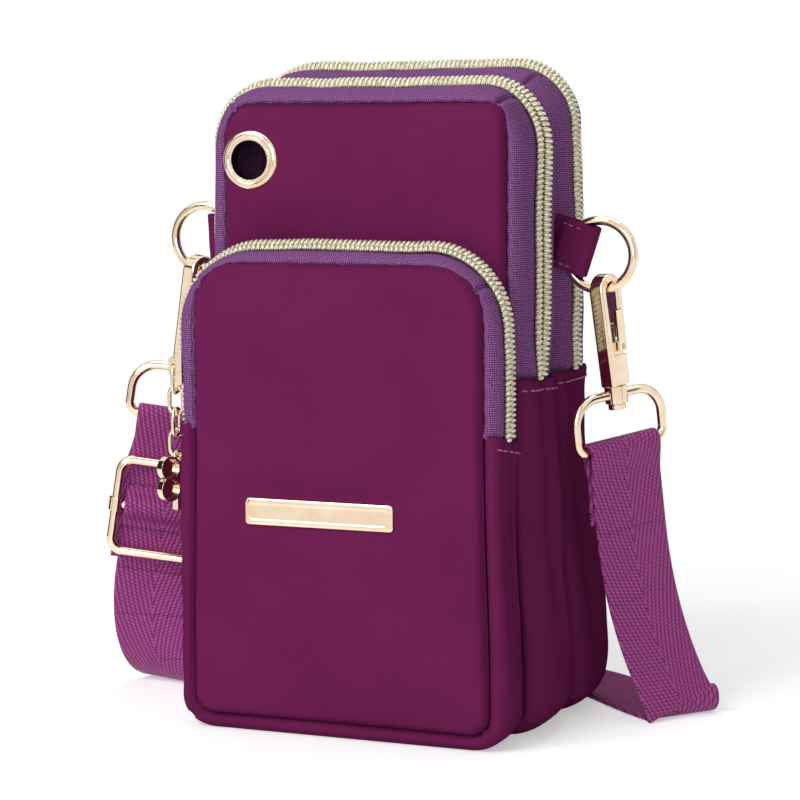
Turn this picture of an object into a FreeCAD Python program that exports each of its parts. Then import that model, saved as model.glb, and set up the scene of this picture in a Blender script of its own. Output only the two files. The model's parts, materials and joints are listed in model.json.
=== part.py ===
"""Phone pouch with three zipped compartments on a webbing strap, piece by piece, in millimetres.

The origin is the middle of the base, X to the wearer's right as the front is seen, Y to the back, Z up.
"""
import FreeCAD, Part
import Sketcher
import math
import os

Vector = FreeCAD.Vector
Rotation = FreeCAD.Rotation
Placement = FreeCAD.Placement

SIZES = [
    # pouch
    ("front_width", 99.4, "outside width of the front pocket"),
    ("rear_width", 102.6, "outside width of the middle and back compartments"),
    ("front_depth", 18.5, "depth of the front pocket"),
    ("middle_depth", 31.5, "depth of the middle compartment"),
    ("back_depth", 30.0, "depth of the back compartment"),
    ("front_top", 141.5, "height of the front pocket's zip tape"),
    ("middle_top", 187.5, "height of the middle zip tape"),
    ("back_top", 193.0, "height of the back zip tape"),
    ("front_hem", 88.0, "height of the front gusset's hems, where its zip ends"),
    ("rear_hem", 103.0, "height of the middle and back gussets' hems"),
    ("front_round", 24.0, "radius of the front pocket's upper corners"),
    ("rear_round", 18.5, "radius of the two other compartments' upper corners"),
    ("bottom_round", 10.0, "radius of the lower corners"),
    ("shoulder", 5.5, "radius with which the bands turn into the panels"),
    ("wall", 1.6, "nylon, foam and seam allowance of a panel or band"),
    ("lining_cloth", 0.5, "lining cloth"),
    ("lining_slack", 0.3, "slack of a lining inside its compartment"),
    ("coil_width", 6.0, "both rows of a zip's coil"),
    ("coil_proud", 1.0, "coil above the tape"),
    ("coil_groove", 1.4, "gap between the rows, in which a slider's neck runs"),
    ("overrun", 4.0, "overrun of every cutting shape"),
    # eyelet and badge
    ("eyelet_bore", 5.8, "radius of the cable hole"),
    ("eyelet_sleeve", 0.8, "wall of the eyelet's barrel"),
    ("eyelet_dome", 1.5, "height of the eyelet's rolled flange"),
    ("eyelet_inset", 12.8, "eyelet's middle from the panel's left seam"),
    ("eyelet_drop", 21.9, "eyelet's middle below the middle zip tape"),
    ("washer_rim", 2.4, "width of the eyelet's washer"),
    ("washer_thick", 0.8, "thickness of the eyelet's washer"),
    ("badge_length", 46.0, "length of the plain badge"),
    ("badge_height", 8.0, "height of the plain badge"),
    ("badge_thick", 1.8, "thickness of the plain badge"),
    ("badge_round", 1.2, "corner radius of the plain badge"),
    ("badge_left", 4.0, "badge's middle left of the panel's middle"),
    ("badge_level", 65.5, "height of the badge's middle"),
    # side tabs and their rings
    ("tab_height", 15.0, "width of the folded side tab"),
    ("tab_layer", 0.9, "one layer of the side tab"),
    ("tab_eye", 2.0, "half of the gap inside the tab's fold"),
    ("tab_level", 141.5, "height at which the tabs leave the seam"),
    ("tab_root", 3.0, "depth of a tab's flat root in the seam's valley"),
    ("tab_reach_right", 10.8, "reach of the right tab past the band"),
    ("tab_reach_left", 11.0, "reach of the left tab past the band"),
    ("tab_droop_right_angle", 18.0, "droop of the right tab, degrees"),
    ("tab_droop_left_angle", 3.0, "droop of the left tab, degrees"),
    ("ring_radius", 10.05, "radius of a tab ring's wire centre"),
    ("ring_wire", 2.7, "wire of a tab ring"),
    ("ring_reach_right", 12.7, "right ring's middle past the band"),
    ("ring_reach_left", 12.7, "left ring's middle past the band"),
    ("hang_right_angle", 9.0, "hook's place on the right ring, outwards from its lowest point, degrees"),
    ("hang_left_angle", 13.0, "hook's place on the left ring, outwards from its lowest point, degrees"),
    ("lean_right_angle", 7.5, "lean of the right hook, degrees"),
    ("lean_left_angle", 9.0, "lean of the left hook, degrees"),
    ("bow_right_angle", 53.0, "direction of the right bow's bar, degrees from X"),
    ("bow_left_angle", 25.0, "direction of the left bow's bar, degrees from X"),
    ("hook_angle", 75.0, "direction from a hook's back to its gate, degrees from X"),
    # snap hooks
    ("hook_thick", 4.6, "thickness of a hook's body"),
    ("hook_bar", 2.6, "width of a hook's bars"),
    ("hook_eye", 2.7, "half of the gap in a hook's bend"),
    ("hook_rise", 27.5, "height of the bend's centre above the hook's foot"),
    ("hook_foot_width", 8.4, "width of a hook's foot"),
    ("hook_foot_height", 8.6, "height of a hook's foot"),
    ("nose_length", 5.5, "straight nose below the bend"),
    ("hook_seat", 0.6, "gap between a ring's wire and the bend above it"),
    ("hook_edge", 0.8, "rounding of a hook's edges"),
    ("tongue_thick", 1.9, "thickness of the tongue that carries the gate"),
    ("tongue_height", 3.8, "height of that tongue"),
    ("pin_radius", 0.7, "radius of a gate's pin"),
    ("pin_inset", 1.5, "pin's centre inside the gate's outer face"),
    ("gate_width", 3.6, "width of a gate"),
    ("gate_channel", 1.5, "depth of the channel in a gate"),
    ("leaf_thick", 0.4, "thickness of a gate's leaf spring"),
    ("leaf_height", 4.6, "height of a gate's leaf spring"),
    ("running_gap", 0.3, "running gap between moving pieces"),
    ("post_radius", 1.7, "radius of a hook's swivel post"),
    ("post_head_radius", 2.6, "radius of the post's riveted head"),
    ("post_head", 1.5, "thickness of the post's riveted head"),
    ("collar_radius", 3.3, "radius of a bow's collar"),
    ("collar_length", 5.0, "length of a bow's collar"),
    ("bow_width", 30.8, "width of a bow between its wire centres"),
    ("bow_height", 15.5, "height of a bow between its wire centres"),
    ("bow_top_round", 8.0, "radius of a bow's upper bends"),
    ("bow_bottom_round", 3.2, "radius of a bow's lower bends"),
    ("bow_wire", 2.8, "wire of a bow"),
    # strap and its adjuster
    ("strap_width", 25.0, "width of the webbing"),
    ("strap_thick", 1.3, "thickness of the webbing"),
    ("loop_taper", 10.0, "distance below a bow's bar at which the loop's layers meet"),
    ("right_loop", 24.0, "length of the right sewn loop below the bow's bar"),
    ("left_loop", 49.0, "length of the left loop below the bow's bar, through the adjuster"),
    ("hank_length", 84.0, "length of the folded strap's hank"),
    ("hank_pitch", 1.9, "distance between the hank's layers"),
    ("hank_behind", 64.0, "hank's middle behind the pouch's middle"),
    ("hank_left", 2.0, "hank's middle left of the pouch's middle"),
    ("hank_entry", 20.0, "where the right run meets the hank's lowest layer, from the pouch's middle"),
    ("hank_exit", 42.0, "where the hank's top layer meets the left run, left of the pouch's middle"),
    ("foot_across", 12.6, "right drop's shift along its width on its way to the floor"),
    ("foot_behind", -5.0, "right drop's shift backwards on its way to the floor"),
    ("foot_left", 76.0, "left drop's end on the floor, left of the pouch's middle"),
    ("foot_back", 15.0, "left drop's end on the floor, behind the pouch's middle"),
    ("foot_angle", 69.0, "left run's direction at the floor, degrees from X"),
    ("drop_pull_right", 44.0, "reach of the right drop's first bend handle"),
    ("drop_pull_left", 18.0, "reach of the left drop's first bend handle"),
    ("floor_pull", 13.0, "reach of the drops' handles on the floor"),
    ("run_pull", 28.0, "reach of the floor runs' bend handles"),
    ("chord_step", 0.5, "spacing of the points on which the hank's gap is measured"),
    ("slide_width", 30.4, "width of the adjuster between its wire centres"),
    ("slide_height", 28.6, "height of the adjuster between its wire centres"),
    ("slide_round", 4.0, "corner radius of the adjuster's wire centre"),
    ("slide_wire", 3.0, "wire of the adjuster's frame"),
    ("slide_bar_radius", 1.3, "radius of the adjuster's cross bar"),
    ("slide_sleeve", 0.8, "wall of the sleeves that hold the bar on the frame"),
    ("slide_sleeve_length", 4.0, "length of those sleeves"),
    ("slide_below", 29.0, "adjuster's middle below the left bow's bar"),
    # zip sliders, pulls and the charm
    ("slider_length", 10.0, "length of a zip slider"),
    ("slider_width", 8.2, "width of a zip slider"),
    ("slider_plate", 1.1, "thickness of a slider's plates"),
    ("slider_neck", 0.8, "thickness of the neck between a slider's plates"),
    ("slider_neck_length", 3.0, "length of that neck"),
    ("bail_height", 3.8, "height of a slider's bail"),
    ("bail_thick", 1.6, "thickness of a slider's bail"),
    ("bail_length", 5.0, "length of a slider's bail"),
    ("bail_bore", 1.0, "radius of the hole in a slider's bail"),
    ("front_slider_level", 105.5, "height of the front slider"),
    ("rear_slider_level", 111.0, "height of the middle and back sliders"),
    ("link_length", 9.0, "length of a chain link between its wire centres, plus one wire"),
    ("link_width", 4.4, "width of a chain link between its wire centres"),
    ("link_wire", 1.2, "wire of a chain link"),
    ("pull_length", 13.0, "length of a plain pull below its link"),
    ("pull_width", 4.6, "width of a plain pull"),
    ("pull_thick", 1.0, "thickness of a plain pull"),
    ("leaf_radius", 3.6, "radius of one leaf of the charm"),
    ("leaf_rim", 0.7, "rim of one leaf of the charm"),
    ("leaf_depth", 1.6, "depth of the hollow in a leaf"),
    ("charm_thick", 2.4, "thickness of the charm"),
    ("stem_length", 3.0, "length of the charm's stem"),
    ("stem_width", 2.0, "width of the charm's stem"),
]

HANK_LAYERS = 9
CHAIN_LINKS = 3
CHARM_LEAVES = 4
CHARM_TURN = 65
DROP_STATIONS = 16
RUN_STATIONS = 14

doc = FreeCAD.newDocument("PhonePouch")
sheet = doc.addObject("Spreadsheet::Sheet", "Sizes")
for row, (alias, value, meaning) in enumerate(SIZES, start=1):
    sheet.set(f"A{row}", meaning)
    sheet.set(f"B{row}", str(value))
    sheet.setAlias(f"B{row}", alias)
doc.recompute()

ALIASES = {alias for alias, _, _ in SIZES}
nodes = {}


def size(alias):
    """One size from the sheet, for the shapes that are computed here."""
    return float(getattr(sheet, alias))


def bound(text):
    """An expression in the sheet's words, with each word made a reference to its cell."""
    words = text.replace("(", " ( ").replace(")", " ) ").split()
    return " ".join(f"Sizes.{word}" if word in ALIASES else word for word in words)


def bind(item, **expressions):
    """Bind properties of a document object to expressions in the sheet's words."""
    for name, text in expressions.items():
        item.setExpression(name, bound(text))
    return item


def at(item, x="0", y="0", z="0"):
    """Bind the place of a document object."""
    for axis, text in (("x", x), ("y", y), ("z", z)):
        item.setExpression(f".Placement.Base.{axis}", bound(text))
    return item


def node(name, item):
    """Make a document object a sub-part with a file of its own."""
    item.Label = name
    nodes[name] = item
    return item


def box(name, x, y, z):
    """A box from three pairs of expressions, the low and the high end along each axis."""
    item = doc.addObject("Part::Box", name)
    bind(item, Length=f"( {x[1]} ) - ( {x[0]} )", Width=f"( {y[1]} ) - ( {y[0]} )",
         Height=f"( {z[1]} ) - ( {z[0]} )")
    return at(item, x[0], y[0], z[0])


TURNED = {"X": Rotation(Vector(0, 1, 0), 90), "Y": Rotation(Vector(1, 0, 0), -90), "Z": Rotation()}


def cylinder(name, radius, length, axis="Z", x="0", y="0", z="0"):
    """A cylinder along an axis, from its start point."""
    item = doc.addObject("Part::Cylinder", name)
    item.Placement = Placement(Vector(), TURNED[axis])
    bind(item, Radius=radius, Height=length)
    return at(item, x, y, z)


def cut(name, base, *tools):
    """One shape less others."""
    for number, tool in enumerate(tools, start=1):
        made = doc.addObject("Part::Cut", name if number == len(tools) else f"{name}_{number}")
        made.Base = base
        made.Tool = tool
        base = made
    return base


def common(name, one, other):
    """What two shapes share."""
    made = doc.addObject("Part::Common", name)
    made.Base = one
    made.Tool = other
    return made


def fuse(name, *shapes):
    """Several shapes as one."""
    made = doc.addObject("Part::MultiFuse", name)
    made.Shapes = list(shapes)
    made.Refine = True
    return made


def feature(name, shape, placement=Placement()):
    """A computed shape as a document object."""
    item = doc.addObject("Part::Feature", name)
    item.Shape = shape
    item.Placement = placement
    return item


def round_edges(body, name, radius, chosen):
    """Fillet the chosen edges of a body's last feature."""
    doc.recompute()
    base = body.Tip
    picked = [f"Edge{n}" for n, edge in enumerate(base.Shape.Edges, start=1) if chosen(edge.BoundBox)]
    fillet = body.newObject("PartDesign::Fillet", name)
    fillet.Base = (base, picked)
    bind(fillet, Radius=radius)
    doc.recompute()


def block(name, width, base, top, front, depth, rounds, shoulder=None):
    """A rounded upright slab: its outline stands on the base, and it is padded back from its front."""
    body = doc.addObject("PartDesign::Body", name)
    outline = body.newObject("Sketcher::SketchObject", f"{name}_outline")
    plane = next(item for item in body.Origin.OriginFeatures if item.Role == "XZ_Plane")
    outline.AttachmentSupport = (plane, [""])
    outline.MapMode = "FlatFace"
    outline.setExpression("AttachmentOffset.Base.y", bound(base))
    outline.setExpression("AttachmentOffset.Base.z", bound(f"0 - ( {front} )"))
    corners = [Vector(-1, 0, 0), Vector(1, 0, 0), Vector(1, 1, 0), Vector(-1, 1, 0)]
    scale = size("front_width")
    for number, corner in enumerate(corners):
        after = corners[(number + 1) % len(corners)]
        outline.addGeometry(Part.LineSegment(corner * scale, after * scale))
    for number in range(len(corners)):
        outline.addConstraint(Sketcher.Constraint("Coincident", number, 2, (number + 1) % len(corners), 1))
    for line, kind in ((1, "Vertical"), (2, "Horizontal"), (3, "Vertical")):
        outline.addConstraint(Sketcher.Constraint(kind, line))
    outline.addConstraint(Sketcher.Constraint("Symmetric", 0, 1, 0, 2, -2))
    outline.addConstraint(Sketcher.Constraint("PointOnObject", 0, 1, -1))
    across = outline.addConstraint(Sketcher.Constraint("DistanceX", 0, 1, 0, 2, scale))
    upright = outline.addConstraint(Sketcher.Constraint("DistanceY", 1, 1, 1, 2, scale))
    outline.setExpression(f"Constraints[{across}]", bound(width))
    outline.setExpression(f"Constraints[{upright}]", bound(f"( {top} ) - ( {base} )"))
    pad = body.newObject("PartDesign::Pad", f"{name}_pad")
    pad.Profile = outline
    pad.Reversed = True
    bind(pad, Length=depth)
    doc.recompute()
    bounds = pad.Shape.BoundBox
    middle = bounds.Center.z

    def along_depth(edge):
        return edge.YLength > edge.XLength + edge.ZLength

    round_edges(body, f"{name}_top", rounds[0], lambda edge: along_depth(edge) and edge.ZMin > middle)
    round_edges(body, f"{name}_bottom", rounds[1], lambda edge: along_depth(edge) and edge.ZMax < middle)
    if shoulder:
        round_edges(body, f"{name}_shoulder", shoulder, lambda edge: not along_depth(edge))
    return body


def wire_frame(name, width, height, top_round, bottom_round, wire):
    """A loop of round wire in the XZ plane, given between its wire centres, about its middle."""
    half = f"( {width} ) / 2"
    tall = f"( {height} ) / 2"
    shapes = []
    corners = [(1, 1, top_round, 0), (-1, 1, top_round, 90),
               (-1, -1, bottom_round, 180), (1, -1, bottom_round, 270)]
    for number, (side, level, radius, start) in enumerate(corners):
        bend = doc.addObject("Part::Torus", f"{name}_bend{number}")
        bend.Placement = Placement(Vector(), TURNED["Y"].inverted() * Rotation(Vector(0, 0, 1), start))
        bind(bend, Radius1=radius, Radius2=f"( {wire} ) / 2")
        bend.Angle3 = 90
        at(bend, f"{side} * ( {half} - ( {radius} ) )", "0", f"{level} * ( {tall} - ( {radius} ) )")
        shapes.append(bend)
    for level, radius in ((1, top_round), (-1, bottom_round)):
        if radius != f"{width} / 2":
            shapes.append(cylinder(f"{name}_run{level + 1}", f"( {wire} ) / 2",
                                   f"{width} - 2 * ( {radius} )", "X",
                                   f"( {radius} ) - {half}", "0", f"{level} * {tall}"))
    for side in (-1, 1):
        shapes.append(cylinder(f"{name}_side{side + 1}", f"( {wire} ) / 2",
                               f"{height} - ( {top_round} ) - ( {bottom_round} )", "Z",
                               f"{side} * {half}", "0", f"( {bottom_round} ) - {tall}"))
    return fuse(name, *shapes)


FRONT = "0 - ( front_depth + middle_depth + back_depth ) / 2"
MIDDLE = f"{FRONT} + front_depth"
BACK = f"{MIDDLE} + middle_depth"


def compartment(name, width, top, corner, hem, front, depth):
    """One compartment: gusset, two zip tapes, two coil rows and a lining, and its shell and seam outline."""
    rounds = (corner, "bottom_round")
    outer = block(f"{name}_outer", width, "0", top, front, depth, rounds, "shoulder")
    inner = block(f"{name}_inner", f"{width} - 2 * wall", "wall", f"{top} - wall", f"{front} + wall",
                  f"{depth} - 2 * wall", (f"{corner} - wall", "bottom_round - wall"), "shoulder - wall")
    shell = cut(f"{name}_shell", outer, inner)
    seam = block(f"{name}_seam", f"{width} - 2 * shoulder", "shoulder", f"{top} - shoulder",
                 f"{front} - overrun", f"{depth} + 2 * overrun",
                 (f"{corner} - shoulder", "bottom_round - shoulder"))
    band = cut(f"{name}_band", shell, seam)
    wide = (f"0 - {width}", width)
    below = ("0 - overrun", hem)
    above = (hem, f"{top} + overrun")
    middle = f"{front} + ( {depth} ) / 2"
    fore = f"{middle} - coil_width / 2"
    aft = f"{middle} + coil_width / 2"
    node(f"{name}_gusset", common(f"{name}_gusset", band, box(
        f"{name}_gusset_space", wide, (f"{front} - overrun", f"{front} + {depth} + overrun"), below)))
    node(f"{name}_zip_tape_fore", common(f"{name}_zip_tape_fore", band, box(
        f"{name}_fore_space", wide, (f"{front} - overrun", fore), above)))
    node(f"{name}_zip_tape_aft", common(f"{name}_zip_tape_aft", band, box(
        f"{name}_aft_space", wide, (aft, f"{front} + {depth} + overrun"), above)))
    raised = block(f"{name}_coil_outer", f"{width} + 2 * coil_proud", "0 - coil_proud",
                   f"{top} + coil_proud", fore, "coil_width",
                   (f"{corner} + coil_proud", "bottom_round + coil_proud"))
    core = block(f"{name}_coil_inner", f"{width} - 2 * wall", "wall", f"{top} - wall",
                 f"{fore} - overrun", "coil_width + 2 * overrun",
                 (f"{corner} - wall", "bottom_round - wall"))
    coil = cut(f"{name}_coil", raised, core)
    for row, space in (("fore", (fore, f"{middle} - coil_groove / 2")),
                       ("aft", (f"{middle} + coil_groove / 2", aft))):
        node(f"{name}_zip_row_{row}", common(f"{name}_zip_row_{row}", coil, box(
            f"{name}_row_{row}_space", (f"{wide[0]} - overrun", f"{wide[1]} + overrun"), space, above)))
    bags = []
    for layer, inset in (("bag", "( wall + lining_slack )"),
                         ("hollow", "( wall + lining_slack + lining_cloth )")):
        bags.append(block(f"{name}_{layer}", f"{width} - 2 * {inset}", inset, f"{top} - {inset}",
                          f"{front} + {inset}", f"{depth} - 2 * {inset}",
                          (f"{corner} - {inset}", f"bottom_round - {inset}"), f"shoulder - {inset}"))
    node(f"{name}_lining", common(f"{name}_lining", cut(f"{name}_bag_shell", *bags), box(
        f"{name}_lining_space", wide, (f"{front} - overrun", f"{front} + {depth} + overrun"), below)))
    return shell, seam


def panel(name, shell, seam, width, top, low, high):
    """The flat wall of a shell between two planes, out to the seam that it is sewn along."""
    plate = common(f"{name}_plate", shell, seam)
    return common(name, plate, box(f"{name}_space", (f"0 - {width}", width), (low, high),
                                   ("0", f"{top} + overrun")))


def pouch():
    """The three compartments, their panels, the eyelet and the badge."""
    front = compartment("front", "front_width", "front_top", "front_round", "front_hem", FRONT, "front_depth")
    middle = compartment("middle", "rear_width", "middle_top", "rear_round", "rear_hem", MIDDLE,
                         "middle_depth")
    back = compartment("back", "rear_width", "back_top", "rear_round", "rear_hem", BACK, "back_depth")
    node("front_panel", panel("front_panel", *front, "front_width", "front_top",
                              f"{FRONT} - overrun", f"{FRONT} + front_depth / 2"))
    whole = panel("middle_panel_whole", *middle, "rear_width", "middle_top",
                  f"{MIDDLE} - overrun", f"{MIDDLE} + middle_depth / 2")
    eyelet_x = "0 - rear_width / 2 + shoulder + eyelet_inset"
    eyelet_z = "middle_top - eyelet_drop"
    barrel = "eyelet_bore + eyelet_sleeve"
    hole = cylinder("eyelet_hole", barrel, "wall + 2 * overrun", "Y", eyelet_x,
                    f"{MIDDLE} - overrun", eyelet_z)
    node("middle_panel", cut("middle_panel", whole, hole))
    node("divider_panel", panel("divider_panel", *back, "rear_width", "back_top",
                                f"{BACK} - overrun", f"{BACK} + back_depth / 2"))
    node("back_panel", panel("back_panel", *back, "rear_width", "back_top",
                             f"{BACK} + back_depth / 2", f"{BACK} + back_depth + overrun"))

    sleeve = cylinder("eyelet_sleeve_round", barrel, "eyelet_dome + wall + washer_thick", "Y", eyelet_x,
                      f"{MIDDLE} - eyelet_dome", eyelet_z)
    flange = doc.addObject("Part::Torus", "eyelet_flange")
    flange.Placement = Placement(Vector(), TURNED["Y"])
    bind(flange, Radius1="eyelet_bore + eyelet_dome", Radius2="eyelet_dome")
    at(flange, eyelet_x, MIDDLE, eyelet_z)
    seat = cylinder("eyelet_seat", f"{barrel} + 2 * eyelet_dome + overrun", "overrun", "Y", eyelet_x, MIDDLE,
                    eyelet_z)
    rim = cut("eyelet_rim", flange, seat)
    bore = cylinder("eyelet_opening", "eyelet_bore", "wall + 2 * overrun + eyelet_dome", "Y", eyelet_x,
                    f"{MIDDLE} - overrun", eyelet_z)
    node("eyelet_barrel", cut("eyelet_barrel", fuse("eyelet_round", sleeve, rim), bore))
    disc = cylinder("washer_disc", f"{barrel} + washer_rim", "washer_thick", "Y", eyelet_x,
                    f"{MIDDLE} + wall", eyelet_z)
    node("eyelet_washer", cut("eyelet_washer", disc, cylinder(
        "washer_hole", barrel, "washer_thick + 2 * overrun", "Y", eyelet_x,
        f"{MIDDLE} + wall - overrun", eyelet_z)))

    badge = block("badge_plate", "badge_length", "badge_level - badge_height / 2",
                  "badge_level + badge_height / 2", f"{FRONT} - badge_thick", "badge_thick",
                  ("badge_round", "badge_round"))
    at(badge, "0 - badge_left")
    node("badge_plate", badge)


CREST = size("rear_width") / 2
SEAM_Y = -(size("front_depth") + size("middle_depth") + size("back_depth")) / 2 \
    + size("front_depth") + size("middle_depth")


class Side:
    """Where one side's tab, ring, hook and bow hang; sign is 1 on the right and -1 on the left."""

    def __init__(self, name, sign):
        self.name = name
        self.sign = sign
        droop = math.radians(size(f"tab_droop_{name}_angle"))
        self.tab = Placement(Vector(sign * CREST, SEAM_Y, size("tab_level")),
                             Rotation(Vector(0, 1, 0), sign * math.degrees(droop))
                             * Rotation(Vector(0, 0, 1), 0 if sign > 0 else 180))
        self.ring_centre = self.tab.multVec(Vector(size(f"ring_reach_{name}"), 0, 0))
        hang = math.radians(size(f"hang_{name}_angle"))
        self.contact = self.ring_centre + Vector(sign * math.sin(hang), 0, -math.cos(hang)) \
            * size("ring_radius")
        turn = math.radians(size(f"bow_{name}_angle"))
        lean = math.radians(size(f"lean_{name}_angle"))
        across = Vector(math.cos(turn), math.sin(turn), 0)
        self.axis = Vector(0, 0, math.cos(lean)) - across * (sign * math.sin(lean))
        self.bow = self.frame(across)
        hook_turn = math.radians(size("hook_angle"))
        self.hook = self.frame(Vector(math.cos(hook_turn), math.sin(hook_turn), 0))
        self.bar = self.bow.multVec(Vector(0, 0, -size("running_gap") - size("collar_length") / 2
                                           - size("bow_height")))

    def frame(self, towards):
        """The hook's foot as a frame, with Z up its axis and X as near a direction as that allows."""
        drop = size("hook_rise") + size("hook_eye") - size("ring_wire") / 2 - size("hook_seat")
        return Placement(self.contact - self.axis * drop,
                         Rotation(towards, self.axis.cross(towards), self.axis, "ZXY"))


def side_tab(side):
    """A tab folded round its ring: a flat root in the seam's valley, then two layers and the fold."""
    name = f"side_tab_{side.name}"
    reach = f"tab_reach_{side.name}"
    outer = "tab_eye + tab_layer"
    high = ("0 - tab_height / 2", "tab_height / 2")
    root = box(f"{name}_root", ("0 - tab_root", "tab_layer"), ("0 - tab_layer", "tab_layer"), high)
    sleeve = box(f"{name}_sleeve", ("0", f"{reach} - ( {outer} )"),
                 (f"0 - ( {outer} )", outer), high)
    fold = cylinder(f"{name}_fold", outer, "tab_height", "Z", f"{reach} - ( {outer} )", "0",
                    "0 - tab_height / 2")
    eye_high = (f"{high[0]} - overrun", f"{high[1]} + overrun")
    eye = box(f"{name}_eye", ("tab_layer", f"{reach} - ( {outer} )"), ("0 - tab_eye", "tab_eye"), eye_high)
    eye_end = cylinder(f"{name}_eye_end", "tab_eye", "tab_height + 2 * overrun", "Z",
                       f"{reach} - ( {outer} )", "0", "0 - tab_height / 2 - overrun")
    tab = cut(f"{name}_folded", fuse(f"{name}_outer", root, sleeve, fold),
              fuse(f"{name}_inner", eye, eye_end))
    tab.Placement = side.tab
    clear = cut(f"{name}_clear", tab, doc.getObject("middle_outer"), doc.getObject("back_outer"))
    ends = ["rear_width / 2 - tab_root", "rear_width"]
    if side.sign < 0:
        ends = [f"0 - ( {end} )" for end in reversed(ends)]
    depth = (f"{BACK} - rear_width", f"{BACK} + rear_width")
    node(name, common(name, clear, box(f"{name}_space", ends, depth, ("0", "middle_top"))))


def tab_ring(side):
    """The round ring in a tab."""
    ring = doc.addObject("Part::Torus", f"tab_ring_{side.name}")
    bind(ring, Radius1="ring_radius", Radius2="ring_wire / 2")
    ring.Placement = Placement(side.ring_centre, TURNED["Y"])
    node(f"tab_ring_{side.name}", ring)


def extrusion(name, wires, thick, along):
    """A flat outline, with any holes, extruded both ways along a direction."""
    outline = feature(f"{name}_outline", Part.makeFace(wires, "Part::FaceMakerBullseye"))
    item = doc.addObject("Part::Extrusion", name)
    item.Base = outline
    item.DirMode = "Custom"
    item.Dir = along
    item.Solid = True
    item.Symmetric = True
    bind(item, LengthFwd=thick)
    return item


def closed(points):
    """A closed wire of lines and arcs: a triple stands for an arc's start, a point on it and its end."""
    runs = [(item, item, item) if isinstance(item, Vector) else item for item in points]
    edges = [Part.Arc(*item).toShape() for item in points if not isinstance(item, Vector)]
    for one, two in zip(runs, runs[1:] + runs[:1]):
        edges.append(Part.makeLine(one[-1], two[0]))
    return Part.Wire(Part.sortEdges(edges)[0])


def snap_hook(side):
    """A snap hook: its body with the swivel post, the gate, the gate's pin and its leaf spring."""
    name = side.name
    eye = size("hook_eye")
    bar = size("hook_bar")
    rise = size("hook_rise")
    foot = size("hook_foot_width") / 2
    shelf = size("hook_foot_height")
    out = eye + bar
    tip = rise - size("nose_length")
    point = lambda x, z: Vector(x, 0, z)
    outline = closed([
        point(-foot, 0), point(foot, 0), point(foot, shelf), point(bar - foot, shelf),
        (point(-eye, rise), point(0, rise + eye), point(eye, rise)),
        point(eye, tip), point(out, tip),
        (point(out, rise), point(0, rise + out), point(-out, rise)),
    ])
    plate = extrusion(f"hook_plate_{name}", [outline], "hook_thick", Vector(0, 1, 0))
    doc.recompute()
    half = size("hook_thick") / 2
    soft = doc.addObject("Part::Fillet", f"hook_soft_{name}")
    soft.Base = plate
    soft.Edges = [(n, size("hook_edge"), size("hook_edge"))
                  for n, edge in enumerate(plate.Shape.Edges, start=1)
                  if edge.BoundBox.YLength < half and edge.BoundBox.ZMax > shelf + bar
                  and edge.BoundBox.ZLength > size("hook_edge")]
    gate_in = "hook_eye + hook_bar - gate_width"
    pin_x = "hook_eye + hook_bar - pin_inset"
    pin_z = "hook_foot_height + tongue_height / 2 + running_gap"
    tongue = box(f"tongue_{name}", ("hook_bar - hook_foot_width / 2", f"{pin_x} + pin_radius + running_gap"),
                 ("0 - tongue_thick / 2", "tongue_thick / 2"),
                 ("hook_foot_height - overrun / 2", "hook_foot_height + tongue_height"))
    post = cylinder(f"post_{name}", "post_radius", "collar_length + 2 * running_gap + overrun", "Z",
                    "0", "0", "0 - collar_length - 2 * running_gap")
    head = cylinder(f"post_head_{name}", "post_head_radius", "post_head", "Z",
                    "0", "0", "0 - collar_length - 2 * running_gap - post_head")
    pin_hole = cylinder(f"pin_hole_{name}", "pin_radius", "hook_thick + 2 * overrun", "Y",
                        pin_x, "0 - hook_thick / 2 - overrun", pin_z)
    body = cut(f"hook_{name}", fuse(f"hook_whole_{name}", soft, tongue, post, head), pin_hole)
    body.Placement = side.hook
    node(f"hook_{name}", body)

    gate_half = "( hook_thick / 2 - running_gap )"
    fork = "( tongue_thick / 2 + running_gap )"
    gate_top = "hook_rise - nose_length - running_gap"
    bar_shape = box(f"gate_bar_{name}", (gate_in, "hook_eye + hook_bar"), (f"0 - {gate_half}", gate_half),
                    ("hook_foot_height + 3 * running_gap", gate_top))
    slot = box(f"gate_fork_{name}", (f"{gate_in} - overrun", "hook_eye + hook_bar + overrun"),
               (f"0 - {fork}", fork), ("0", "hook_foot_height + tongue_height + 4 * running_gap"))
    channel = box(f"gate_groove_{name}", (f"{gate_in} - overrun", f"{gate_in} + gate_channel"),
                  (f"0 - {fork}", fork), ("0", f"{gate_top} - gate_width"))
    gate_hole = cylinder(f"gate_hole_{name}", "pin_radius + running_gap / 2", "hook_thick + 2 * overrun", "Y",
                         pin_x, "0 - hook_thick / 2 - overrun", pin_z)
    gate = cut(f"gate_{name}", bar_shape, slot, channel, gate_hole)
    gate.Placement = side.hook
    node(f"gate_{name}", gate)
    pin_point = point(out - size("pin_inset"), shelf + size("tongue_height") / 2 + size("running_gap"))
    circle = Part.makeCircle(size("pin_radius"), pin_point, Vector(0, 1, 0))
    pin = extrusion(f"gate_pin_{name}", [Part.Wire(circle)],
                    "hook_thick - 2 * running_gap", Vector(0, 1, 0))
    pin.Placement = side.hook
    node(f"gate_pin_{name}", pin)
    face = out - size("gate_width") - size("running_gap")
    heel = shelf + size("tongue_height")
    leaf = extrusion(f"gate_spring_{name}", [closed([
        point(face, heel), point(face, heel + size("leaf_height")),
        point(face - size("leaf_thick"), heel + size("leaf_height")), point(face - size("leaf_thick"), heel),
    ])], "tongue_thick", Vector(0, 1, 0))
    leaf.Placement = side.hook
    node(f"gate_spring_{name}", leaf)


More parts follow.
